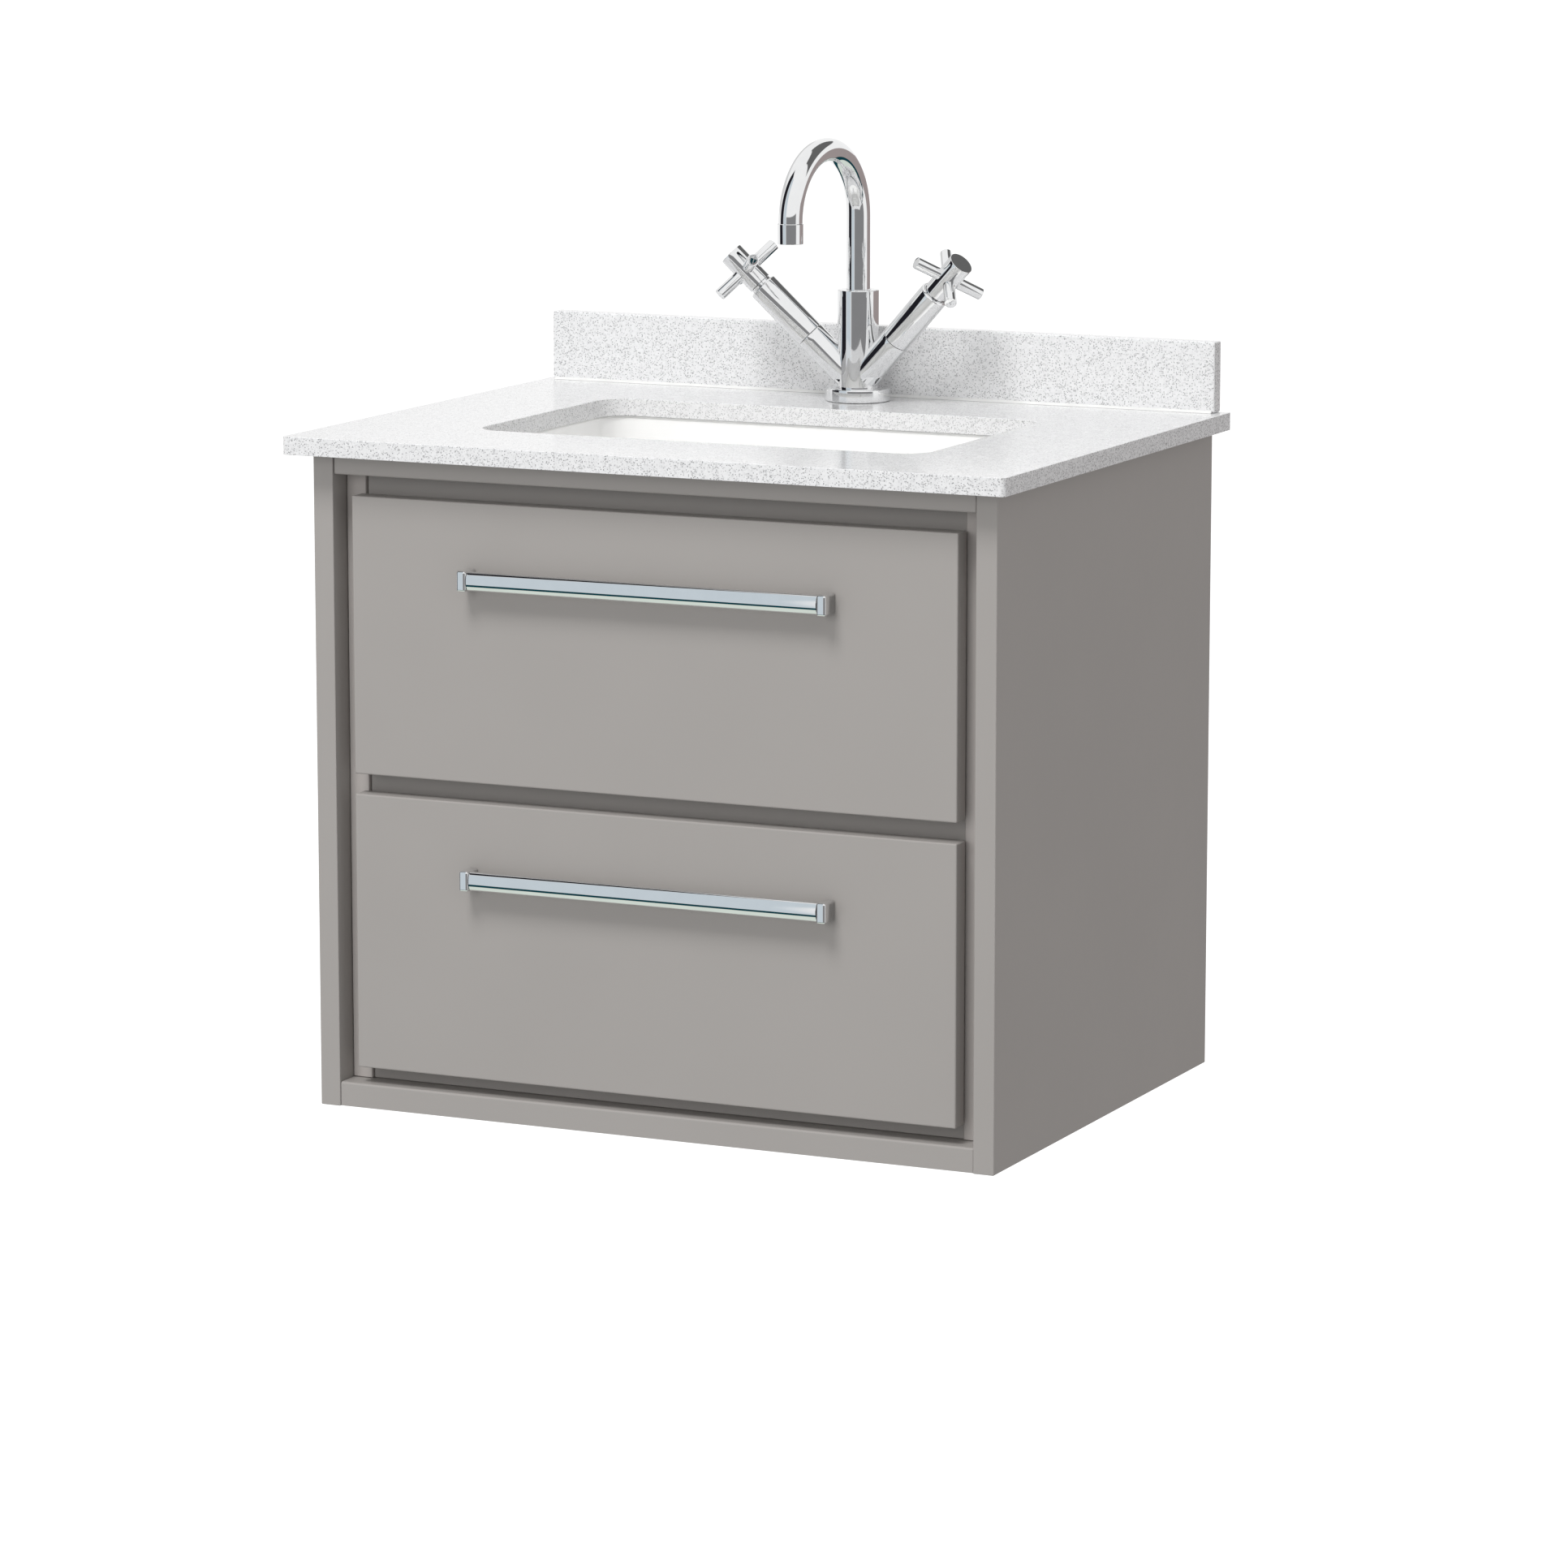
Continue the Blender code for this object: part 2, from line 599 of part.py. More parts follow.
def waste():
    """The waste, its lift-up plug, the bottle trap and the pipe to the wall."""
    seat = at(0, WASTE_BACK, BOWL_FLOOR_UP)
    body = [(0.0325, GAP), (0.0325, 0.0015), (0.0290, 0.0028), (0.0245, 0.0028), (WASTE_BORE, 0.0005),
            (WASTE_BORE, -WASTE_LONG), (0.0195, -WASTE_LONG), (0.0195, -0.0130), (0.0270, -0.0130),
            (0.0270, -0.0095), (0.0215, -0.0093), (0.0215, GAP)]
    turned("waste_body", body, "chrome", seat, 32)
    plug = [(0, -0.022), (0.0040, -0.022), (0.0040, 0.0034), (0.0225, 0.0034), (0.0240, 0.0044),
            (0.0240, 0.0058), (0.0190, 0.0072), (0, 0.0078)]
    turned("waste_plug", plug, "chrome", seat, 32)
    bottle = [(0.0155, 0.0), (0.0250, 0.0), (0.0250, -0.010), (0.0300, -0.014), (0.0300, -0.036),
              (0.0270, -0.040), (0, -0.040), (0, -0.037), (0.0155, -0.037)]
    trap = turned("trap_bottle", bottle, "trap_plastic", at(0, WASTE_BACK, TRAP_TOP_UP), 28)
    stub_start = at(0, WASTE_BACK + 0.021, OUTLET_UP)
    stub_end = at(0, OUTLET_START, OUTLET_UP)
    join_to(trap, rod_tool("trap_spigot", stub_start, stub_end, 0.0135, 24), "UNION")
    long = OUTLET_END - OUTLET_START - GAP
    pipe = [(0.0120, 0), (0.0150, 0), (0.0150, long), (0.0120, long)]
    along = Vector((0, 1, 0)).to_track_quat("Z", "Y")
    turned("trap_outlet", pipe, "trap_plastic", stub_end + Vector((0, GAP, 0)), 24, along)


# ---- tap ----


def arm_direction(side):
    """Unit vector up one arm of the tap's V."""
    return Vector((side * ARM_ASIDE, -ARM_FORWARD, ARM_RISE)).normalized()


def tap_body():
    """The base ring, the column with the two lower arms, and the shank and nut that clamp it."""
    base = at(0, TAP_BACK, SLAB_TOP + GAP)
    ring = [(COLUMN_RADIUS + 0.0003, 0), (FLANGE_RADIUS, 0), (FLANGE_RADIUS, FLANGE_HIGH - 0.001),
            (FLANGE_RADIUS - 0.001, FLANGE_HIGH), (COLUMN_RADIUS + 0.0003, FLANGE_HIGH)]
    turned("tap_flange", ring, "chrome", base, 40)
    top = COLUMN_HIGH + FLANGE_HIGH
    bore = SPOUT_RADIUS + GAP
    column = [(0, -SHANK_LONG), (SHANK_RADIUS, -SHANK_LONG), (SHANK_RADIUS, 0.0005),
              (COLUMN_RADIUS, 0.0005), (COLUMN_RADIUS, top - 0.0006), (COLUMN_RADIUS - 0.0006, top),
              (bore, top), (bore, top - SPOUT_SOCKET), (0, top - SPOUT_SOCKET)]
    body = turned("tap_body", column, "chrome", base, 40)
    apex = base + Vector((0, 0, ARM_APEX_UP))
    for side, name in ((-1, "hot"), (1, "cold")):
        along = arm_direction(side)
        arm = rod_tool(f"{name}_arm", apex + along * 0.004, apex + along * ARM_SEAM, ARM_RADIUS, 32)
        join_to(body, arm, "UNION")
        mouth = base + Vector((side * SHANK_RADIUS * 0.48, 0, -SHANK_LONG))
        foot = mouth - Vector((0, 0, 0.001))
        inlet = rod_tool(f"{name}_inlet", foot, mouth + Vector((0, 0, INLET_DEEP)), INLET_RADIUS, 16)
        join_to(body, inlet, "DIFFERENCE")
    nut = [(SHANK_RADIUS + GAP, -0.012), (0.022, -0.012), (0.022, 0), (SHANK_RADIUS + GAP, 0)]
    turned("tap_backnut", nut, "zinc_steel", at(0, TAP_BACK, SLAB_UP - GAP), 24)


def tap_arm(side, name, pin_turn):
    """One valve with its sleeve and cross handle; the handle's origin is on its axis."""
    base = at(0, TAP_BACK, SLAB_TOP + GAP)
    apex = base + Vector((0, 0, ARM_APEX_UP))
    along = arm_direction(side)
    turn = along.to_track_quat("Z", "Y")
    long = ARM_COLLAR - ARM_SEAM - GAP
    sleeve = [(0.0102, 0), (ARM_RADIUS - 0.0004, 0), (ARM_RADIUS, 0.0005), (ARM_RADIUS, long - 0.0012),
              (ARM_RADIUS - 0.0012, long), (0.0102, long)]
    turned(f"tap_sleeve_{name}", sleeve, "chrome", apex + along * (ARM_SEAM + GAP), 32, turn)
    valve = [(0, 0.001), (0.0099, 0.001), (0.0099, long - 0.004), (0.0046, long - 0.004),
             (0.0046, long - 0.018), (0, long - 0.018)]
    turned(f"tap_valve_{name}", valve, "zinc_steel", apex + along * (ARM_SEAM + GAP), 24, turn)
    pins = apex + along * PIN_ALONG
    hub_low = ARM_COLLAR + 0.0008 - PIN_ALONG
    hub_top = ARM_END - PIN_ALONG
    hub = [(0, hub_low - 0.014), (0.0042, hub_low - 0.014), (0.0042, hub_low - 0.002),
           (0.0098, hub_low - 0.002), (0.0098, hub_low + 0.001), (HUB_RADIUS, hub_low + 0.0015),
           (HUB_RADIUS, hub_top - 0.0006), (HUB_RADIUS - 0.0006, hub_top), (0, hub_top)]
    handle = turned(f"tap_handle_{name}", hub, "chrome", pins, 32, turn)
    level = Vector((0, 0, 1)).cross(along).normalized()
    rising = along.cross(level)
    for i in range(2):
        angle = math.radians(pin_turn) + i * math.pi / 2
        reach = (level * math.cos(angle) + rising * math.sin(angle)) * PIN_REACH
        rod = rod_tool(f"{name}_cross_{i}", pins - reach, pins + reach, PIN_RADIUS, 20)
        join_to(handle, rod, "UNION")


def spout_path():
    """Points of the swan neck about its swivel axis, from its foot up and over to its mouth."""
    foot = FLANGE_HIGH + COLUMN_HIGH - SPOUT_SOCKET + 0.001
    half = SPOUT_REACH / 2
    path = [Vector((0, 0, foot)), Vector((0, 0, (foot + ARCH_UP) / 2)), Vector((0, 0, ARCH_UP))]
    steps = 22
    for i in range(1, steps + 1):
        angle = SPOUT_ARC * i / steps
        path.append(Vector((0, -half + half * math.cos(angle), ARCH_UP + ARCH_RISE * math.sin(angle))))
    return path


def bent_rod_mesh(path, radius, sides=20):
    """A closed round rod along a path that bends in the plane x = 0; its last ring faces down."""
    bm = bmesh.new()
    across = Vector((1, 0, 0))
    aheads = path[1:] + [path[-1] + Vector((0, -0.03, -1))]
    behinds = path[:1] + path[:-2] + path[-1:]
    rings = []
    for point, ahead, behind in zip(path, aheads, behinds):
        normal = (ahead - behind).normalized().cross(across)
        turns = [2 * math.pi * k / sides for k in range(sides)]
        points = [point + (across * math.cos(t) + normal * math.sin(t)) * radius for t in turns]
        rings.append([bm.verts.new(p) for p in points])
    for lower, upper in zip(rings, rings[1:]):
        for k in range(sides):
            j = (k + 1) % sides
            bm.faces.new((lower[k], lower[j], upper[j], upper[k]))
    bm.faces.new(reversed(rings[0]))
    bm.faces.new(rings[-1])
    return bm


def tap_spout():
    """The swan neck, whose origin is on its swivel axis, and the aerator in its mouth."""
    base = at(0, TAP_BACK, SLAB_TOP + GAP)
    path = spout_path()
    add_object("tap_spout", bent_rod_mesh(path, SPOUT_RADIUS), "chrome", base, smooth_above=40)
    mouth = base + path[-1] + Vector((0, 0, -0.0012))
    aerator = [(0, -0.004), (0.0082, -0.004), (0.0082, -AERATOR_LONG),
               (AERATOR_RADIUS - 0.0005, -AERATOR_LONG), (AERATOR_RADIUS, -AERATOR_LONG + 0.0005),
               (AERATOR_RADIUS, -0.0004), (AERATOR_RADIUS - 0.0004, 0), (0, 0)]
    turned("tap_aerator", aerator, "chrome", mouth, 32)


def main():
    """Builds the whole vanity."""
    clear_scene()
    upper_slide = joint_point("upper_drawer_slide", at(0, 0, UPPER_FRONT_UP))
    upper_middle = joint_point("upper_runner_slide", at(0, RUNNER_START, UPPER_RUNNER_UP))
    lower_slide = joint_point("lower_drawer_slide", at(0, 0, LOWER_FRONT_UP))
    lower_middle = joint_point("lower_runner_slide", at(0, RUNNER_START, LOWER_RUNNER_UP))
    bpy.context.view_layer.update()
    end_panels()
    face_rails()
    carcass()
    back_panel()
    hanging_rail()
    hangers()
    upper_drawer(upper_slide)
    lower_drawer(lower_slide)
    runners("upper", UPPER_RUNNER_UP, upper_slide, upper_middle)
    runners("lower", LOWER_RUNNER_UP, lower_slide, lower_middle)
    worktop()
    upstand()
    basin()
    waste()
    tap_body()
    tap_arm(-1, "hot", HOT_PIN_TURN)
    tap_arm(1, "cold", COLD_PIN_TURN)
    tap_spout()


main()
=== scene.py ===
"""Looks of a wall-hung bathroom vanity: lacquered boards, stone top, glazed basin and chrome tap.

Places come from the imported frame, sizes that the frame doesn't give are fields of the classes below.
World frame, in metres: +X to the right, +Y into the wall, +Z up, with the origin on the wall plane.
"""

import json
import logging
import math
from collections.abc import Callable, Iterable
from dataclasses import dataclass
from enum import Enum

import bmesh
import bpy
from mathutils import Matrix, Quaternion, Vector


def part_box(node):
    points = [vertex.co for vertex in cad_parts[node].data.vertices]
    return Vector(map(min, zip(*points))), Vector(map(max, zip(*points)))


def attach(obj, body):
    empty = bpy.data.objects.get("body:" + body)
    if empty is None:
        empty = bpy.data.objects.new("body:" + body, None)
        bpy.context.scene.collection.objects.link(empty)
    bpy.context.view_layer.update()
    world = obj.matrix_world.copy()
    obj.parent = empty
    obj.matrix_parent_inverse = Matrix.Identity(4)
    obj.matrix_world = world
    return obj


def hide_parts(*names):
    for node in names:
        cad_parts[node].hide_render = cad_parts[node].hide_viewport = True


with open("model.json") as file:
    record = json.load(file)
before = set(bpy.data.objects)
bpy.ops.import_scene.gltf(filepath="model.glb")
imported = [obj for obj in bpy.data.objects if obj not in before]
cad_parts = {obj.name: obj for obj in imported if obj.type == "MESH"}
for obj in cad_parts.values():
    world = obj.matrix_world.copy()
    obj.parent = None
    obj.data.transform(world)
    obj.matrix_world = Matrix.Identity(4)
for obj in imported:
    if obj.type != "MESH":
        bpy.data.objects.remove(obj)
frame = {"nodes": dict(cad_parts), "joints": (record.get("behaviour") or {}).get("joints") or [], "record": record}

logging.basicConfig(level=logging.INFO, format="%(message)s")
log = logging.getLogger("vanity")

Outline = list[tuple[float, float]]
UP = Vector((0.0, 0.0, 1.0))
HIDDEN_GAP = 0.0003


class Join(Enum):
    """How a tool piece changes the piece that it is applied to."""

    ADD = "UNION"
    CUT = "DIFFERENCE"


class Side(Enum):
    """Left or right of the cabinet's middle, as the sign of x."""

    LEFT = -1
    RIGHT = 1

    @property
    def label(self) -> str:
        """The side's word, as node names use it."""
        return self.name.lower()


# ---- the bench: shaping with modelling operators ----


def clear_selection() -> None:
    """Leaves edit mode and selects nothing."""
    if bpy.context.object is not None and bpy.context.object.mode != "OBJECT":
        bpy.ops.object.mode_set(mode="OBJECT")
    bpy.ops.object.select_all(action="DESELECT")


def softened(outline: Outline, radius: float, steps: int = 3) -> Outline:
    """Rounds each inner corner of an outline with a small curve.

    Args:
        outline: (radius, height) points in order.
        radius: How far from a corner its curve starts.
        steps: Straight bits in each curve.

    Returns:
        The outline with its corners replaced by curve points.
    """
    points = [Vector(p) for p in outline]
    made = [tuple(points[0])]
    for before, corner, after in zip(points, points[1:], points[2:]):
        towards, away = before - corner, after - corner
        reach = min(radius, 0.45 * towards.length, 0.45 * away.length)
        start = corner + towards.normalized() * reach
        end = corner + away.normalized() * reach
        for i in range(steps + 1):
            t = i / steps
            point = start * (1 - t) ** 2 + corner * 2 * t * (1 - t) + end * t**2
            made.append(tuple(point))
    made.append(tuple(points[-1]))
    return made


class Workpiece:
    """One mesh on the bench, shaped by operators step by step."""

    def __init__(self, name: str) -> None:
        """Takes up the object that an operator has just added and gives it its name."""
        self.obj = bpy.context.object
        self.obj.name = name
        self.obj.data.name = name

    @classmethod
    def block(cls, name: str, low: Vector, high: Vector) -> "Workpiece":
        """A rectangular blank between two corners, for boards and posts.

        Args:
            name: The piece's name.
            low: Lowest corner.
            high: Highest corner.

        Returns:
            The blank.
        """
        clear_selection()
        bpy.ops.mesh.primitive_cube_add(size=1.0, location=(low + high) / 2, scale=high - low)
        return cls(name).settle()

    @classmethod
    def sheet(cls, name: str, low: Vector, high: Vector) -> "Workpiece":
        """A flat rectangle at the height of low.z, for pieces grown from a plan shape."""
        clear_selection()
        size = high - low
        middle = (low + high) / 2
        bpy.ops.mesh.primitive_plane_add(size=1.0, location=(middle.x, middle.y, low.z))
        piece = cls(name)
        piece.obj.scale = (size.x, size.y, 1.0)
        return piece.settle()

    @classmethod
    def turned(cls, name: str, outline: Outline, sides: int = 64, hollow: bool = False) -> "Workpiece":
        """A piece turned about Z: a circle is extruded and resized along an outline.

        Args:
            name: The piece's name.
            outline: (radius, height) points, none of them on the axis.
            sides: Points round the circle.
            hollow: True joins the last ring to the first, which leaves a bore; False caps both ends.

        Returns:
            The turned piece, closed and with its faces outward.
        """
        clear_selection()
        radius, height = outline[0]
        fill = "NOTHING" if hollow else "NGON"
        bpy.ops.mesh.primitive_circle_add(
            vertices=sides, radius=radius, location=(0, 0, height), fill_type=fill)
        piece = cls(name)
        piece.open()
        for (r0, z0), (r1, z1) in zip(outline, outline[1:] + outline[:1] if hollow else outline[1:]):
            bpy.ops.mesh.extrude_region_move(TRANSFORM_OT_translate={"value": (0, 0, z1 - z0)})
            ratio = r1 / r0
            if abs(ratio - 1) > 1e-6:
                bpy.ops.transform.resize(value=(ratio, ratio, 1), center_override=(0, 0, z1))
        piece.tidy_shell()
        return piece.settle()

    @classmethod
    def rod(cls, name: str, start: Vector, end: Vector, radius: float,
            ease: float = 0.0005, sides: int = 48) -> "Workpiece":
        """A round rod with eased ends between two points."""
        long = (end - start).length
        shoulder = radius - 2 * ease
        outline = softened([(shoulder, 0), (radius, 0), (radius, long), (shoulder, long)], ease)
        return cls.turned(name, outline, sides).aim(start, end - start)

    @classmethod
    def refined(cls, name: str, node: str, ease: float, segments: int = 2) -> "Workpiece":
        """A merged copy of a CAD node with its sharp edges finely rounded.

        Args:
            name: The piece's name.
            node: The CAD node that it is copied from.
            ease: Radius of its edges.
            segments: Straight bits in each edge's curve.

        Returns:
            The refined copy.
        """
        clear_selection()
        obj = bpy.data.objects.new(name, frame["nodes"][node].data.copy())
        bpy.context.scene.collection.objects.link(obj)
        bpy.context.view_layer.objects.active = obj
        piece = cls(name)
        piece.open()
        piece.tidy_shell()
        bpy.ops.mesh.dissolve_limited(angle_limit=math.radians(0.5))
        return piece.settle().ease(ease, segments)

    @classmethod
    def tube(cls, name: str, path: list[tuple[Vector, Vector, Vector]], radius: float,
             closed: bool = False, smoothness: int = 20) -> "Workpiece":
        """A round tube along a smooth curve.

        Args:
            name: The piece's name.
            path: (point, handle before it, handle after it) for each point of the curve.
            radius: Radius of the tube.
            closed: True joins its ends.
            smoothness: Straight bits between two points.

        Returns:
            The tube as a mesh.
        """
        clear_selection()
        curve = bpy.data.curves.new(name, "CURVE")
        curve.dimensions = "3D"
        curve.bevel_depth = radius
        curve.bevel_resolution = 10
        curve.resolution_u = smoothness
        curve.use_fill_caps = not closed
        spline = curve.splines.new("BEZIER")
        spline.bezier_points.add(len(path) - 1)
        spline.use_cyclic_u = closed
        for point, (place, before, after) in zip(spline.bezier_points, path):
            point.co, point.handle_left, point.handle_right = place, before, after
        obj = bpy.data.objects.new(name, curve)
        bpy.context.scene.collection.objects.link(obj)
        obj.select_set(True)
        bpy.context.view_layer.objects.active = obj
        bpy.ops.object.convert(target="MESH")
        piece = cls(name)
        piece.open()
        piece.tidy_shell()
        return piece.settle()

    def settle(self) -> "Workpiece":
        """Applies the object's own place to its mesh and returns the piece."""
        if self.obj.mode != "OBJECT":
            bpy.ops.object.mode_set(mode="OBJECT")
        bpy.ops.object.select_all(action="DESELECT")
        self.obj.select_set(True)
        bpy.context.view_layer.objects.active = self.obj
        bpy.ops.object.transform_apply(location=True, rotation=True, scale=True)
        return self

    def aim(self, foot: Vector, along: Vector, spin: float = 0.0) -> "Workpiece":
        """Turns the piece's Z axis to a direction and moves its origin to a foot point.

        Args:
            foot: Where the piece's own (0, 0, 0) goes.
            along: The direction of its axis.
            spin: Turn about that axis, in radians.

        Returns:
            The piece.
        """
        turn = along.to_track_quat("Z", "Y") @ Quaternion(UP, spin)
        self.obj.matrix_world = Matrix.Translation(foot) @ turn.to_matrix().to_4x4()
        return self.settle()

    def open(self) -> None:
        """Enters edit mode on this piece alone, with everything selected."""
        clear_selection()
        self.obj.select_set(True)
        bpy.context.view_layer.objects.active = self.obj
        bpy.ops.object.mode_set(mode="EDIT")
        bpy.ops.mesh.select_mode(type="VERT")
        bpy.ops.mesh.select_all(action="SELECT")

    def pick(self, kind: str, test: Callable[..., bool]) -> int:
        """Selects the points, edges or faces that pass a test, in edit mode.

        Args:
            kind: "VERT", "EDGE" or "FACE".
            test: Takes one element and says whether it is picked.

        Returns:
            How many were picked.
        """
        bpy.ops.mesh.select_mode(type=kind)
        bpy.ops.mesh.select_all(action="DESELECT")
        mesh = bmesh.from_edit_mesh(self.obj.data)
        stock = {"VERT": mesh.verts, "EDGE": mesh.edges, "FACE": mesh.faces}[kind]
        found = [element for element in stock if test(element)]
        for element in found:
            element.select_set(True)
        mesh.select_flush_mode()
        bmesh.update_edit_mesh(self.obj.data)
        return len(found)

    def reshape(self, move: Callable[[Vector], Vector]) -> None:
        """Moves each selected point by a rule, in edit mode."""
        mesh = bmesh.from_edit_mesh(self.obj.data)
        for vert in mesh.verts:
            if vert.select:
                vert.co = move(vert.co)
        bmesh.update_edit_mesh(self.obj.data)

    def tidy_shell(self) -> None:
        """Merges doubled points and turns every face outward, in edit mode."""
        bpy.ops.mesh.select_all(action="SELECT")
        bpy.ops.mesh.remove_doubles(threshold=1e-6)
        bpy.ops.mesh.normals_make_consistent(inside=False)

    def modify(self, kind: str, **settings: object) -> "Workpiece":
        """Adds a modifier with these settings and applies it at once."""
        clear_selection()
        self.obj.select_set(True)
        bpy.context.view_layer.objects.active = self.obj
        modifier = self.obj.modifiers.new(kind.lower(), kind)
        for key, value in settings.items():
            setattr(modifier, key, value)
        bpy.ops.object.modifier_apply(modifier=modifier.name)
        return self

    def combine(self, tool: "Workpiece", join: Join) -> "Workpiece":
        """Adds or cuts a tool piece, which is used up."""
        self.modify("BOOLEAN", operation=join.value, object=tool.obj, solver="EXACT")
        bpy.data.objects.remove(tool.obj)
        return self

    def gather(self, others: Iterable["Workpiece"]) -> "Workpiece":
        """Joins separate shells into this piece, such as the screws of one bracket."""
        clear_selection()
        for other in others:
            other.obj.select_set(True)
        self.obj.select_set(True)
        bpy.context.view_layer.objects.active = self.obj
        bpy.ops.object.join()
        return self

    def ease(self, width: float, segments: int = 3) -> "Workpiece":
        """Rounds every sharp edge and keeps the flat faces flat in shading."""
        self.modify("BEVEL", width=width, segments=segments, limit_method="ANGLE",
                    angle_limit=math.radians(40))
        return self.level_shading()

    def level_shading(self) -> "Workpiece":
        """Smooth shading whose normals follow the large faces."""
        bpy.ops.object.shade_smooth()
        return self.modify("WEIGHTED_NORMAL", mode="FACE_AREA", weight=80)

    def smooth(self, angle: float = 35.0) -> "Workpiece":
        """Smooth shading across edges flatter than an angle in degrees."""
        clear_selection()
        self.obj.select_set(True)
        bpy.context.view_layer.objects.active = self.obj
        bpy.ops.object.shade_smooth_by_angle(angle=math.radians(angle))
        return self


# ---- finishes ----


class NodeSheet:
    """A new node material and the short calls that lay out its nodes."""

    def __init__(self, name: str) -> None:
        """Starts a material with a Principled shader on its output."""
        self.material = bpy.data.materials.new(name)
        self.material.use_nodes = True
        self.tree = self.material.node_tree
        self.shader = self.tree.nodes["Principled BSDF"]
        self.place = self.add("ShaderNodeTexCoord").outputs["Object"]

    def add(self, kind: str, **settings: object) -> bpy.types.Node:
        """Adds a node and sets its properties."""
        node = self.tree.nodes.new(kind)
        for key, value in settings.items():
            setattr(node, key, value)
        return node

    def wire(self, source: bpy.types.NodeSocket, node: bpy.types.Node, socket: str | int) -> None:
        """Links an output to a node's input."""
        self.tree.links.new(source, node.inputs[socket])

    def set(self, **values: object) -> None:
        """Sets constants on the shader; underscores stand for spaces in socket names."""
        for key, value in values.items():
            self.shader.inputs[key.replace("_", " ")].default_value = value

    def noise(self, scale: float, detail: float = 3.0, stretch: Vector | None = None) -> bpy.types.NodeSocket:
        """A soft cloud pattern on the piece's own coordinates.

        Args:
            scale: Lumps per metre, roughly.
            detail: How many finer layers it has.
            stretch: Scale along each axis, for grain that runs one way.

        Returns:
            The pattern's value output.
        """
        node = self.add("ShaderNodeTexNoise")
        node.inputs["Scale"].default_value = scale
        node.inputs["Detail"].default_value = detail
        source = self.place
        if stretch is not None:
            mapping = self.add("ShaderNodeMapping")
            mapping.inputs["Scale"].default_value = stretch
            self.wire(source, mapping, "Vector")
            source = mapping.outputs["Vector"]
        self.wire(source, node, "Vector")
        return node.outputs["Fac"]

    def steps(self, source: bpy.types.NodeSocket, stops: list[tuple[float, tuple]]) -> bpy.types.NodeSocket:
        """A colour ramp from a value: (position, colour) stops, at least two."""
        ramp = self.add("ShaderNodeValToRGB")
        elements = ramp.color_ramp.elements
        for i, (position, colour) in enumerate(stops):
            element = elements[i] if i < 2 else elements.new(position)
            element.position = position
            element.color = (*colour, 1.0) if len(colour) == 3 else colour
        self.wire(source, ramp, "Fac")
        return ramp.outputs["Color"]

    def span(self, source: bpy.types.NodeSocket, low: float, high: float,
             start: float = 0.3, end: float = 0.7) -> bpy.types.NodeSocket:
        """Maps a value from start..end to low..high."""
        node = self.add("ShaderNodeMapRange")
        for socket, value in (("From Min", start), ("From Max", end), ("To Min", low), ("To Max", high)):
            node.inputs[socket].default_value = value
        self.wire(source, node, "Value")
        return node.outputs["Result"]

    def blend(self, share: bpy.types.NodeSocket, first: object, second: object,
              mode: str = "MIX") -> bpy.types.NodeSocket:
        """Mixes two colours, each a socket or an (r, g, b) constant."""
        node = self.add("ShaderNodeMix", data_type="RGBA", blend_type=mode)
        self.wire(share, node, 0)
        for socket, colour in ((6, first), (7, second)):
            if isinstance(colour, tuple):
                node.inputs[socket].default_value = (*colour, 1.0)
            else:
                self.wire(colour, node, socket)
        return node.outputs[2]

    def bump(self, source: bpy.types.NodeSocket, strength: float, distance: float) -> None:
        """Lets a pattern raise the surface by up to a distance in metres."""
        node = self.add("ShaderNodeBump")
        node.inputs["Strength"].default_value = strength
        node.inputs["Distance"].default_value = distance
        self.wire(source, node, "Height")
        self.wire(node.outputs["Normal"], self.shader, "Normal")


@dataclass(frozen=True)
class SatinLacquer:
    """Sprayed satin lacquer: an even tint, faint clouding and a fine orange peel."""

    name: str
    tint: tuple[float, float, float]
    clouding: float = 0.01
    gloss_low: float = 0.43
    gloss_high: float = 0.47
    peel: float = 0.10

    def make(self) -> bpy.types.Material:
        """Builds the lacquer's material."""
        sheet = NodeSheet(self.name)
        cloud = sheet.noise(9.0, 2.0)
        pale = tuple(c * (1 + self.clouding) for c in self.tint)
        deep = tuple(c * (1 - self.clouding) for c in self.tint)
        sheet.wire(sheet.steps(cloud, [(0.3, deep), (0.7, pale)]), sheet.shader, "Base Color")
        sheet.wire(sheet.span(sheet.noise(60.0), self.gloss_low, self.gloss_high), sheet.shader, "Roughness")
        sheet.bump(sheet.noise(1400.0, 1.0), self.peel, 0.0001)
        return sheet.material


@dataclass(frozen=True)
class FoilBoard:
    """Printed foil on board: a soft linen weave in two close tints."""

    name: str
    tint: tuple[float, float, float]
    weave: float = 1600.0

    def make(self) -> bpy.types.Material:
        """Builds the foil's material."""
        sheet = NodeSheet(self.name)
        warp = sheet.noise(1.0, 2.0, Vector((self.weave, self.weave, self.weave / 12)))
        weft = sheet.noise(1.0, 2.0, Vector((self.weave / 12, self.weave / 12, self.weave)))
        both = sheet.add("ShaderNodeMath", operation="MULTIPLY")
        sheet.wire(warp, both, 0)
        sheet.wire(weft, both, 1)
        deep = tuple(c * 0.86 for c in self.tint)
        colour = sheet.steps(both.outputs[0], [(0.14, deep), (0.36, self.tint)])
        sheet.wire(colour, sheet.shader, "Base Color")
        sheet.wire(sheet.span(both.outputs[0], 0.5, 0.62, 0.1, 0.4), sheet.shader, "Roughness")
        sheet.bump(both.outputs[0], 0.25, 0.0001)
        return sheet.material


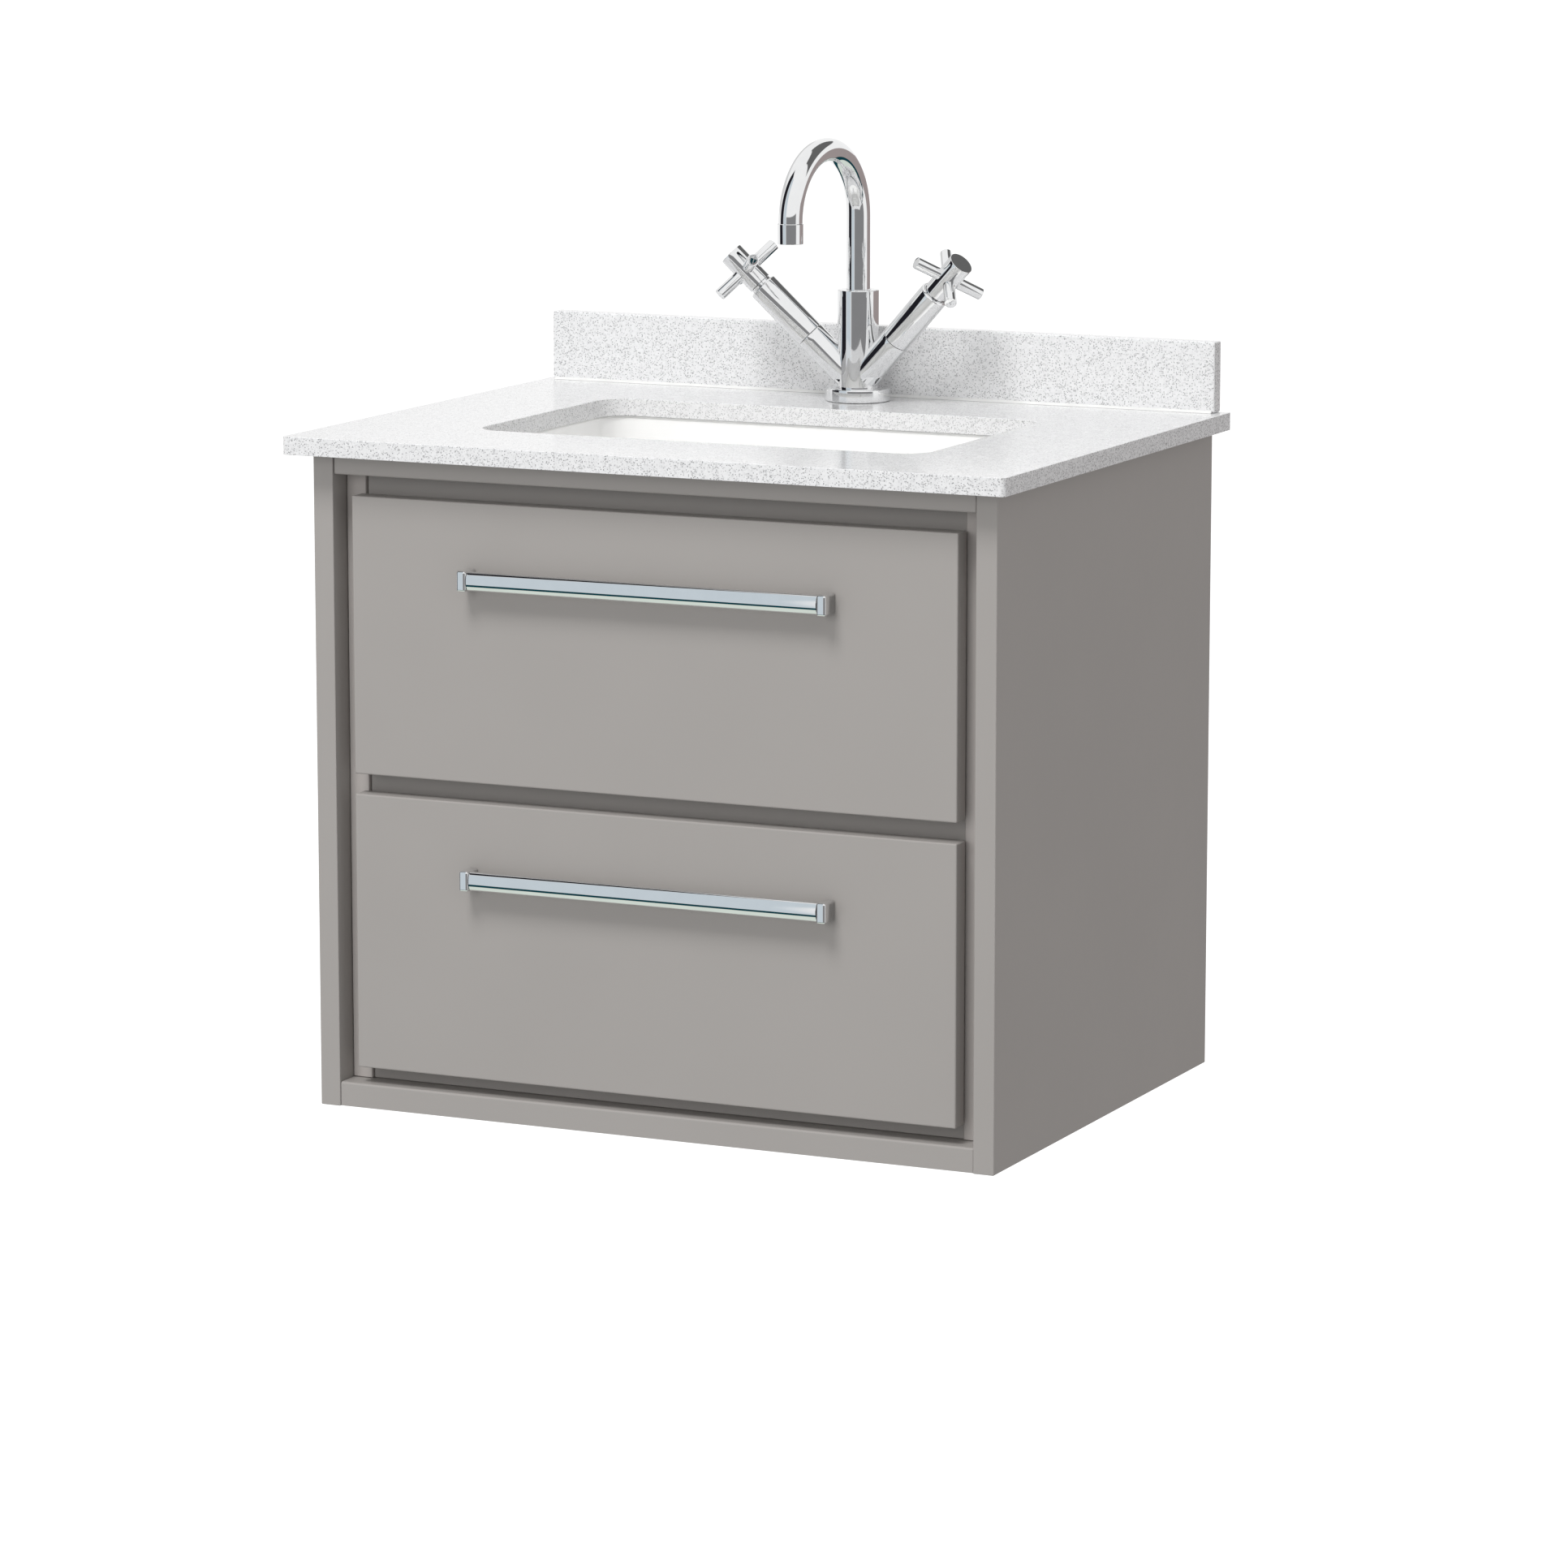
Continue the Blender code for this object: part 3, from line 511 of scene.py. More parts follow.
@dataclass(frozen=True)
class FleckedQuartz:
    """Polished white composite stone: cloudy ground with grey flecks of three sizes."""

    name: str
    ground: tuple[float, float, float] = (0.83, 0.83, 0.835)
    fleck: tuple[float, float, float] = (0.24, 0.24, 0.245)
    fine: float = 900.0
    coarse: float = 480.0

    def flecks(self, sheet: NodeSheet, scale: float, share: float, size: float) -> bpy.types.NodeSocket:
        """Grains of one size, in a share of the cells of a cellular pattern.

        Args:
            sheet: The material being laid out.
            scale: Cells per metre.
            share: Part of the cells that hold a grain.
            size: Radius of a grain as a part of its cell.

        Returns:
            A value that is 1 on a grain and 0 between grains.
        """
        wobble = sheet.add("ShaderNodeVectorMath", operation="ADD")
        drift = sheet.add("ShaderNodeTexNoise")
        drift.inputs["Scale"].default_value = scale * 1.5
        sheet.wire(sheet.place, drift, "Vector")
        bend = sheet.add("ShaderNodeVectorMath", operation="SCALE")
        bend.inputs["Scale"].default_value = 0.4 / scale
        sheet.wire(drift.outputs["Color"], bend, 0)
        sheet.wire(sheet.place, wobble, 0)
        sheet.wire(bend.outputs[0], wobble, 1)
        cells = sheet.add("ShaderNodeTexVoronoi")
        cells.inputs["Scale"].default_value = scale
        sheet.wire(wobble.outputs[0], cells, "Vector")
        near = sheet.span(cells.outputs["Distance"], 1.0, 0.0, size * 0.6, size)
        pick = sheet.add("ShaderNodeSeparateColor")
        sheet.wire(cells.outputs["Color"], pick, 0)
        chosen = sheet.span(pick.outputs["Red"], 1.0, 0.0, share, share + 0.02)
        depth = sheet.span(pick.outputs["Green"], 0.25, 1.0, 0.0, 1.0)
        grain = sheet.add("ShaderNodeMath", operation="MULTIPLY")
        sheet.wire(near, grain, 0)
        sheet.wire(chosen, grain, 1)
        shaded = sheet.add("ShaderNodeMath", operation="MULTIPLY")
        sheet.wire(grain.outputs[0], shaded, 0)
        sheet.wire(depth, shaded, 1)
        return shaded.outputs[0]

    def make(self) -> bpy.types.Material:
        """Builds the stone's material."""
        sheet = NodeSheet(self.name)
        shade = tuple(c * 0.94 for c in self.ground)
        base = sheet.steps(sheet.noise(260.0, 4.0), [(0.38, shade), (0.62, self.ground)])
        pale = tuple(0.7 * c + 0.3 * f for c, f in zip(self.ground, self.fleck))
        base = sheet.blend(self.flecks(sheet, self.coarse, 0.34, 0.60), base, pale)
        base = sheet.blend(self.flecks(sheet, self.fine, 0.32, 0.55), base, self.fleck)
        dark = tuple(f * 0.5 for f in self.fleck)
        base = sheet.blend(self.flecks(sheet, self.fine * 1.1, 0.06, 0.50), base, dark)
        sheet.wire(base, sheet.shader, "Base Color")
        sheet.wire(sheet.span(sheet.noise(90.0), 0.10, 0.17), sheet.shader, "Roughness")
        sheet.bump(sheet.noise(45.0, 1.0), 0.04, 0.0002)
        return sheet.material


@dataclass(frozen=True)
class Glaze:
    """White glaze over ceramic: glassy, with a slow ripple and a hint of warmth in places."""

    name: str
    white: tuple[float, float, float] = (0.95, 0.95, 0.945)

    def make(self) -> bpy.types.Material:
        """Builds the glaze's material."""
        sheet = NodeSheet(self.name)
        warm = (self.white[0], self.white[1] * 0.997, self.white[2] * 0.99)
        colour = sheet.steps(sheet.noise(7.0, 2.0), [(0.35, warm), (0.65, self.white)])
        sheet.wire(colour, sheet.shader, "Base Color")
        sheet.wire(sheet.span(sheet.noise(30.0), 0.04, 0.09), sheet.shader, "Roughness")
        sheet.set(Coat_Weight=0.6, Coat_Roughness=0.03)
        sheet.bump(sheet.noise(26.0, 1.0), 0.05, 0.0006)
        return sheet.material


@dataclass(frozen=True)
class Plate:
    """Plated or bare metal, from mirror chrome to dull zinc."""

    name: str
    tint: tuple[float, float, float]
    mottle: float
    gloss_low: float
    gloss_high: float
    grain: float = 700.0
    ripple: float = 0.02

    def make(self) -> bpy.types.Material:
        """Builds the metal's material."""
        sheet = NodeSheet(self.name)
        deep = tuple(c * (1 - self.mottle) for c in self.tint)
        sheet.wire(sheet.steps(sheet.noise(self.grain / 6), [(0.35, deep), (0.65, self.tint)]),
                   sheet.shader, "Base Color")
        sheet.wire(sheet.span(sheet.noise(self.grain / 3), self.gloss_low, self.gloss_high),
                   sheet.shader, "Roughness")
        sheet.set(Metallic=1.0)
        sheet.bump(sheet.noise(self.grain, 2.0), self.ripple, 0.0001)
        return sheet.material


@dataclass(frozen=True)
class Moulded:
    """Moulded plastic or cured sealant: an even colour with a fine skin texture."""

    name: str
    tint: tuple[float, float, float]
    gloss_low: float = 0.28
    gloss_high: float = 0.40
    skin: float = 0.15

    def make(self) -> bpy.types.Material:
        """Builds the plastic's material."""
        sheet = NodeSheet(self.name)
        deep = tuple(c * 0.95 for c in self.tint)
        colour = sheet.steps(sheet.noise(40.0), [(0.35, deep), (0.65, self.tint)])
        sheet.wire(colour, sheet.shader, "Base Color")
        sheet.wire(sheet.span(sheet.noise(200.0), self.gloss_low, self.gloss_high), sheet.shader, "Roughness")
        sheet.bump(sheet.noise(2200.0, 1.0), self.skin, 0.0001)
        return sheet.material


class Finishes:
    """Every finish of the vanity, each made once."""

    def __init__(self) -> None:
        """Makes the materials."""
        self.board = SatinLacquer("satin_lacquer", (0.372, 0.352, 0.336)).make()
        # Lighter copy of the board lacquer for inner faces: painted light that lifts the shade in the gaps and
        # recesses beside the drawers.
        inner = SatinLacquer("matt_inner_face", (0.500, 0.468, 0.448), gloss_low=0.5, gloss_high=0.58)
        self.inner = inner.make()
        self.foil = FoilBoard("drawer_foil", (0.46, 0.445, 0.425)).make()
        self.quartz = FleckedQuartz("flecked_quartz").make()
        self.glaze = Glaze("white_glaze").make()
        self.chrome = Plate("polished_chrome", (0.84, 0.845, 0.85), 0.02, 0.015, 0.04, ripple=0.004).make()
        self.zinc = Plate("zinc_plate", (0.60, 0.61, 0.63), 0.18, 0.26, 0.40, ripple=0.12).make()
        self.plastic = Moulded("trap_plastic_white", (0.86, 0.86, 0.85)).make()
        self.seal = Moulded("sealant_bead", (0.82, 0.82, 0.81), 0.35, 0.5, 0.05).make()
        self.nylon = Moulded("black_nylon", (0.03, 0.03, 0.032), 0.4, 0.55, 0.3).make()

    def for_slot(self, slot: str) -> bpy.types.Material:
        """The finish that a carried-over node takes from its slot."""
        return {
            "matt_board": self.board,
            # Carried-over inner_board nodes get the lighter lacquer, painted light against the shade of the
            # recesses.
            "inner_board": self.inner,
            "drawer_board": self.foil,
            "quartz": self.quartz,
            "ceramic": self.glaze,
            "chrome": self.chrome,
            "zinc_steel": self.zinc,
            "trap_plastic": self.plastic,
        }[slot]


def deliver(piece: Workpiece, finish: bpy.types.Material, body: str, slot: str, *nodes: str) -> None:
    """Dresses a finished piece and fixes it to its body.

    Args:
        piece: The finished piece.
        finish: Its material.
        body: The body that it moves with.
        slot: The record's material slot; not used.
        *nodes: CAD nodes that it stands for.
    """
    clear_selection()
    piece.obj.data.materials.clear()
    piece.obj.data.materials.append(finish)
    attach(piece.obj, body)
    if nodes:
        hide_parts(*nodes)
    log.info("%s: %d faces, rides on %s", piece.obj.name, len(piece.obj.data.polygons), body)


def corners(node: str) -> tuple[Vector, Vector]:
    """Lowest and highest corner of a CAD node at rest."""
    low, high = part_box(node)
    return Vector(low), Vector(high)


def joint(name: str) -> dict:
    """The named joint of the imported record."""
    return next(j for j in frame["joints"] if j["name"] == name)


# ---- cabinet ----


@dataclass
class ScrewBox:
    """Cross-head screws, turned once and copied to where they are needed."""

    head_radius: float = 0.0036
    head_high: float = 0.0021
    slot_wide: float = 0.0009
    slot_half: float = 0.0019
    slot_deep: float = 0.0011

    def one(self, name: str) -> Workpiece:
        """A screw head with its cross recess, standing on z = 0."""
        radius, high = self.head_radius, self.head_high
        outline = [(radius * 0.86, 0), (radius, 0.0002), (radius, high * 0.35)]
        for step in range(1, 6):
            angle = math.pi / 2 * step / 6
            outline.append((radius * math.cos(angle) * 0.98 + 1e-5, high * (0.35 + 0.65 * math.sin(angle))))
        screw = Workpiece.turned(name, outline, 24)
        for half_x, half_y in ((self.slot_half, self.slot_wide / 2), (self.slot_wide / 2, self.slot_half)):
            low = Vector((-half_x, -half_y, high - self.slot_deep))
            high_corner = Vector((half_x, half_y, high + self.slot_deep))
            screw.combine(Workpiece.block("slot_tool", low, high_corner), Join.CUT)
        return screw.smooth(30)

    def row(self, name: str, places: list[tuple[Vector, Vector]]) -> Workpiece:
        """One piece holding a screw at each (foot, direction) place."""
        heads = []
        for i, (foot, along) in enumerate(places):
            heads.append(self.one(f"{name}_{i}").aim(foot, along, 0.3 + 0.7 * i))
        first = heads[0].gather(heads[1:])
        first.obj.name = name
        first.obj.data.name = name
        return first


@dataclass
class Carcass:
    """Panels, frame rails, inner box and hangers that stay with the wall."""

    finishes: Finishes
    screws: ScrewBox
    panel_ease: float = 0.0009
    rail_ease: float = 0.0018
    body: str = "cabinet"

    def build(self) -> None:
        """Makes every fixed board and its fixings."""
        self.boards()
        self.bottom_rail()
        self.hangers()

    def boards(self) -> None:
        """End panels, the top rail and the inner box, with finely eased edges."""
        board, inner = self.finishes.board, self.finishes.inner
        for side in Side:
            node = f"end_panel_{side.label}"
            panel = Workpiece.refined(f"{node}_lacquered", node, self.panel_ease / 3)
            deliver(panel, board, self.body, "matt_board", node)
        for node, finish, slot in (
            ("face_rail_top", board, "matt_board"),
            # The carcass sides take the lighter inner lacquer, painted light that brightens their shaded strips in
            # the gaps.
            ("carcass_side_left", inner, "matt_board"),
            ("carcass_side_right", inner, "matt_board"),
            ("recess_rail_top", board, "inner_board"),
            ("recess_rail_middle", board, "inner_board"),
        ):
            piece = Workpiece.refined(f"{node}_eased", node, self.panel_ease / 3)
            deliver(piece, finish, self.body, slot, node)

    def bottom_rail(self) -> None:
        """The lower frame rail, whose top front edge has the larger radius."""
        low, high = corners("face_rail_bottom")
        rail = Workpiece.block("face_rail_bottom_rounded", low, high)
        rail.open()
        rail.pick("EDGE", lambda e: all(v.co.y < low.y + 1e-5 and v.co.z > high.z - 1e-5 for v in e.verts))
        bpy.ops.mesh.bevel(offset=self.rail_ease, segments=5, affect="EDGES")
        rail.settle().ease(self.panel_ease / 3, 2)
        deliver(rail, self.finishes.board, self.body, "matt_board", "face_rail_bottom")

    def hangers(self) -> None:
        """The two steel brackets with their screws into the side and the rail."""
        for side in Side:
            node = f"hanger_{side.label}"
            low, high = corners(node)
            bracket = Workpiece.refined(f"{node}_bracket", node, 0.0006)
            deliver(bracket, self.finishes.zinc, self.body, "zinc_steel", node)
            wall = high.x if side is Side.RIGHT else low.x
            inward = -side.value
            leg_face = wall + inward * 0.003
            back_face = high.y - 0.003
            places = []
            for share in (0.25, 0.75):
                up = low.z + share * (high.z - low.z)
                places.append((Vector((leg_face, low.y + 0.014, up)), Vector((inward, 0, 0))))
                places.append((Vector((wall + inward * 0.028, back_face, up)), Vector((0, -1, 0))))
            screws = self.screws.row(f"{node}_screws", places)
            deliver(screws, self.finishes.zinc, self.body, "zinc_steel")


@dataclass
class BarHandle:
    """A bar with a rounded face between two posts, fixed from behind the drawer front."""

    finishes: Finishes
    screws: ScrewBox
    tag: str
    post_ease: float = 0.0021
    face_deep: float = 0.0045

    def build(self) -> None:
        """Makes the bar, its posts and its two screws."""
        body = f"{self.tag}_drawer"
        deliver(self.bar(), self.finishes.chrome, body, "chrome", f"{self.tag}_handle_bar")
        for side in Side:
            node = f"{self.tag}_handle_post_{side.label}"
            deliver(self.post(node), self.finishes.chrome, body, "chrome", node)
        deliver(self.fixings(), self.finishes.zinc, body, "zinc_steel")

    def bar(self) -> Workpiece:
        """An oval rod cut flat at the back."""
        low, high = corners(f"{self.tag}_handle_bar")
        half_high = (high.z - low.z) / 2
        middle = (low + high) / 2
        foot = Vector((low.x, low.y + self.face_deep, middle.z))
        end = foot + Vector((high.x - low.x, 0, 0))
        bar = Workpiece.rod(f"{self.tag}_bar", foot, end, half_high, 0.0002, 96)
        bar.open()
        bpy.ops.transform.resize(value=(1, self.face_deep / half_high, 1), center_override=foot)
        back = Vector((middle.x, high.y, middle.z))
        bpy.ops.mesh.bisect(plane_co=back, plane_no=(0, 1, 0), use_fill=True, clear_outer=True)
        bar.tidy_shell()
        return bar.settle().smooth(40)

    def post(self, node: str) -> Workpiece:
        """A square post whose corners are rounded, more at the front than at the foot."""
        low, high = corners(node)
        post = Workpiece.block(f"{node}_rounded", low, high)
        post.open()
        post.pick("EDGE", lambda e: all(v.co.y < low.y + 1e-5 for v in e.verts)
                  or abs((e.verts[0].co - e.verts[1].co).normalized().y) > 0.9)
        bpy.ops.mesh.bevel(offset=self.post_ease, segments=5, affect="EDGES")
        return post.settle().level_shading()

    def fixings(self) -> Workpiece:
        """The screws behind the drawer front, one behind each post."""
        front = corners(f"{self.tag}_drawer_front")[1].y
        places = []
        for side in Side:
            low, high = corners(f"{self.tag}_handle_post_{side.label}")
            middle = (low + high) / 2
            places.append((Vector((middle.x, front, middle.z)), Vector((0, 1, 0))))
        return self.screws.row(f"{self.tag}_handle_screws", places)


@dataclass
class Drawer:
    """One drawer: its front, box, corner brackets and the runners on both sides."""

    finishes: Finishes
    screws: ScrewBox
    tag: str
    front_ease: float = 0.0014
    bracket_leg: float = 0.022
    bracket_high: float = 0.046
    bracket_thick: float = 0.0015

    def build(self) -> None:
        """Makes the drawer and its runners."""
        body = f"{self.tag}_drawer"
        node = f"{self.tag}_drawer_front"
        front = Workpiece.block(f"{node}_lacquered", *corners(node)).ease(self.front_ease, 4)
        deliver(front, self.finishes.board, body, "matt_board", node)
        for part in ("side_left", "side_right", "bottom", "back"):
            node = f"{self.tag}_drawer_{part}"
            piece = Workpiece.refined(f"{node}_foiled", node, 0.0005)
            deliver(piece, self.finishes.foil, body, "drawer_board", node)
        for side in Side:
            deliver(self.bracket(side), self.finishes.zinc, body, "zinc_steel")
        self.runners()
        BarHandle(self.finishes, self.screws, self.tag).build()

    def bracket(self, side: Side) -> Workpiece:
        """A folded steel corner that ties a side to the front, with its three screws."""
        sign = side.value
        side_low, side_high = corners(f"{self.tag}_drawer_side_{side.label}")
        inner = side_low.x if side is Side.RIGHT else side_high.x
        front = corners(f"{self.tag}_drawer_front")[1].y + HIDDEN_GAP
        inner -= sign * HIDDEN_GAP
        up = side_high.z - 0.012 - self.bracket_high
        thick, leg = self.bracket_thick, self.bracket_leg
        along_side = sorted((inner, inner - sign * thick))
        plate = Workpiece.block(
            f"{self.tag}_corner_bracket_{side.label}",
            Vector((along_side[0], front, up)),
            Vector((along_side[1], front + leg, up + self.bracket_high)))
        across = sorted((inner, inner - sign * leg))
        flange = Workpiece.block(
            "flange",
            Vector((across[0], front, up)),
            Vector((across[1], front + thick, up + self.bracket_high)))
        plate.combine(flange, Join.ADD).ease(0.0004, 2)
        tall, out = self.bracket_high, leg * 0.6
        inward, back = Vector((-sign, 0, 0)), Vector((0, 1, 0))
        heads = [
            (Vector((inner - sign * thick, front + out, up + tall * 0.25)), inward),
            (Vector((inner - sign * thick, front + out, up + tall * 0.75)), inward),
            (Vector((inner - sign * leg * 0.6, front + thick, up + tall / 2)), back),
        ]
        screws = self.screws.row("heads", heads)
        return plate.gather([screws])

    def runners(self) -> None:
        """The three nested steel members on each side, with their rolled edges."""
        homes = {"cabinet": "cabinet", "middle": f"{self.tag}_runner_middle", "drawer": f"{self.tag}_drawer"}
        for side in Side:
            for member, body in homes.items():
                node = f"{self.tag}_runner_{member}_{side.label}"
                piece = Workpiece.refined(f"{node}_rolled", node, 0.0004)
                deliver(piece, self.finishes.zinc, body, "zinc_steel", node)


# ---- worktop and basin ----


def ring_point(place: Vector, middle: Vector, half: tuple[float, float], radius: float) -> Vector:
    """The point of a round-cornered rectangle in the direction of a place.

    Args:
        place: Any point; only its direction from the middle matters.
        middle: Centre of the rectangle.
        half: Half its width and half its depth.
        radius: Its corner radius.

    Returns:
        The point on the outline, at the height of place.
    """
    away = Vector((place.x - middle.x, place.y - middle.y))
    away.normalize()
    inner = Vector((half[0] - radius, half[1] - radius))
    reach_x = half[0] / max(abs(away.x), 1e-9)
    reach_y = half[1] / max(abs(away.y), 1e-9)
    reach = min(reach_x, reach_y)
    x, y = abs(away.x) * reach, abs(away.y) * reach
    if x > inner.x and y > inner.y:
        along = abs(away.x) * inner.x + abs(away.y) * inner.y
        spare = along**2 - (inner.x**2 + inner.y**2 - radius**2)
        reach = along + math.sqrt(max(spare, 0.0))
    return Vector((middle.x + away.x * reach, middle.y + away.y * reach, place.z))


@dataclass
class StoneTop:
    """The stone slab with its eased cut-out, and the upstand behind it."""

    finishes: Finishes
    edge_ease: float = 0.0019
    front_corner: float = 0.004
    cutout_radius: float = 0.024
    rim_cover: float = 0.022
    tap_hole: float = 0.0175
    bead_size: float = 0.0022
    body: str = "cabinet"

    def build(self) -> None:
        """Makes the slab and the upstand."""
        deliver(self.slab(), self.finishes.quartz, self.body, "quartz", "worktop")
        upstand = Workpiece.block("upstand_polished", *corners("upstand")).ease(0.0014, 4)
        deliver(upstand, self.finishes.quartz, self.body, "quartz", "upstand")
        deliver(self.joint_bead(), self.finishes.seal, self.body, "trap_plastic")
        deliver(self.foot_bead(), self.finishes.seal, self.body, "trap_plastic")

    def cutout(self) -> tuple[Vector, tuple[float, float]]:
        """Middle and half sizes of the cut-out, from the basin's hidden rim."""
        low, high = corners("basin")
        half = ((high.x - low.x) / 2 - self.rim_cover, (high.y - low.y) / 2 - self.rim_cover)
        return (low + high) / 2, half

    def plan(self, name: str, low: Vector, high: Vector, radius: float, all_corners: bool) -> Workpiece:
        """A flat sheet with rounded corners and even points along its edges."""
        sheet = Workpiece.sheet(name, low, high)
        sheet.open()
        sheet.pick("VERT", lambda v: all_corners or v.co.y < (low.y + high.y) / 2)
        bpy.ops.mesh.bevel(offset=radius, segments=10, affect="VERTICES")
        sheet.pick("EDGE", lambda e: e.calc_length() > 4 * radius)
        bpy.ops.mesh.subdivide(number_cuts=9)
        return sheet.settle()

    def slab(self) -> Workpiece:
        """The slab: two plan outlines are bridged, thickened, eased and drilled."""
        low, high = corners("worktop")
        middle, (half_x, half_y) = self.cutout()
        slab = self.plan("worktop_polished", low, high, self.front_corner, False)
        inner_low = Vector((middle.x - half_x, middle.y - half_y, low.z))
        inner_high = Vector((middle.x + half_x, middle.y + half_y, low.z))
        slab.gather([self.plan("cutout_plan", inner_low, inner_high, self.cutout_radius, True)])
        slab.open()
        bpy.ops.mesh.delete(type="ONLY_FACE")
        bpy.ops.mesh.select_all(action="SELECT")
        bpy.ops.mesh.bridge_edge_loops()
        bpy.ops.mesh.select_all(action="SELECT")
        thick = high.z - low.z
        bpy.ops.mesh.extrude_region_move(TRANSFORM_OT_translate={"value": (0, 0, thick)})
        slab.tidy_shell()
        slab.settle()
        flange_low, flange_high = corners("tap_flange")
        foot = (flange_low + flange_high) / 2
        foot.z = low.z - 0.01
        drill = Workpiece.rod("drill", foot, foot + UP * 0.04, self.tap_hole, 0.0005, 48)
        slab.combine(drill, Join.CUT)
        return self.flattened(slab).ease(self.edge_ease, 4)

    @staticmethod
    def flattened(slab: Workpiece) -> Workpiece:
        """Merges the faces that lie in one plane, so that wide faces shade as one."""
        slab.open()
        bpy.ops.mesh.dissolve_limited(angle_limit=math.radians(0.1))
        return slab.settle()

    def foot_bead(self) -> Workpiece:
        """The bead of sealant along the upstand's foot, with a hollow face."""
        low, high = corners("upstand")
        slab_top = corners("worktop")[1].z + HIDDEN_GAP / 3
        size = self.bead_size
        bead = Workpiece.block("upstand_seal_bead", Vector((low.x + size, low.y - size, slab_top)),
                               Vector((high.x - size, low.y - HIDDEN_GAP / 3, slab_top + size)))
        bead.open()
        front, top = low.y - size / 2, slab_top + size / 2
        bead.pick("EDGE", lambda e: all(v.co.y < front and v.co.z > top for v in e.verts))
        bpy.ops.mesh.bevel(offset=size * 0.9, segments=6, profile=0.2, affect="EDGES")
        bead.tidy_shell()
        return bead.settle().smooth(50)

    def joint_bead(self) -> Workpiece:
        """The thin bead of sealant between the slab's cut-out and the basin."""
        _, high = corners("basin")
        middle, (half_x, half_y) = self.cutout()
        line = 0.0022
        ring = self.plan(
            "basin_seal_bead",
            Vector((middle.x - half_x - line, middle.y - half_y - line, high.z - 0.0006)),
            Vector((middle.x + half_x + line, middle.y + half_y + line, high.z - 0.0006)),
            self.cutout_radius + line, True)
        ring.open()
        bpy.ops.mesh.delete(type="ONLY_FACE")
        ring.settle()
        clear_selection()
        ring.obj.select_set(True)
        bpy.context.view_layer.objects.active = ring.obj
        bpy.ops.object.convert(target="CURVE")
        ring.obj.data.bevel_depth = 0.0011
        ring.obj.data.bevel_resolution = 2
        bpy.ops.object.convert(target="MESH")
        ring.open()
        ring.tidy_shell()
        return ring.settle().smooth(60)


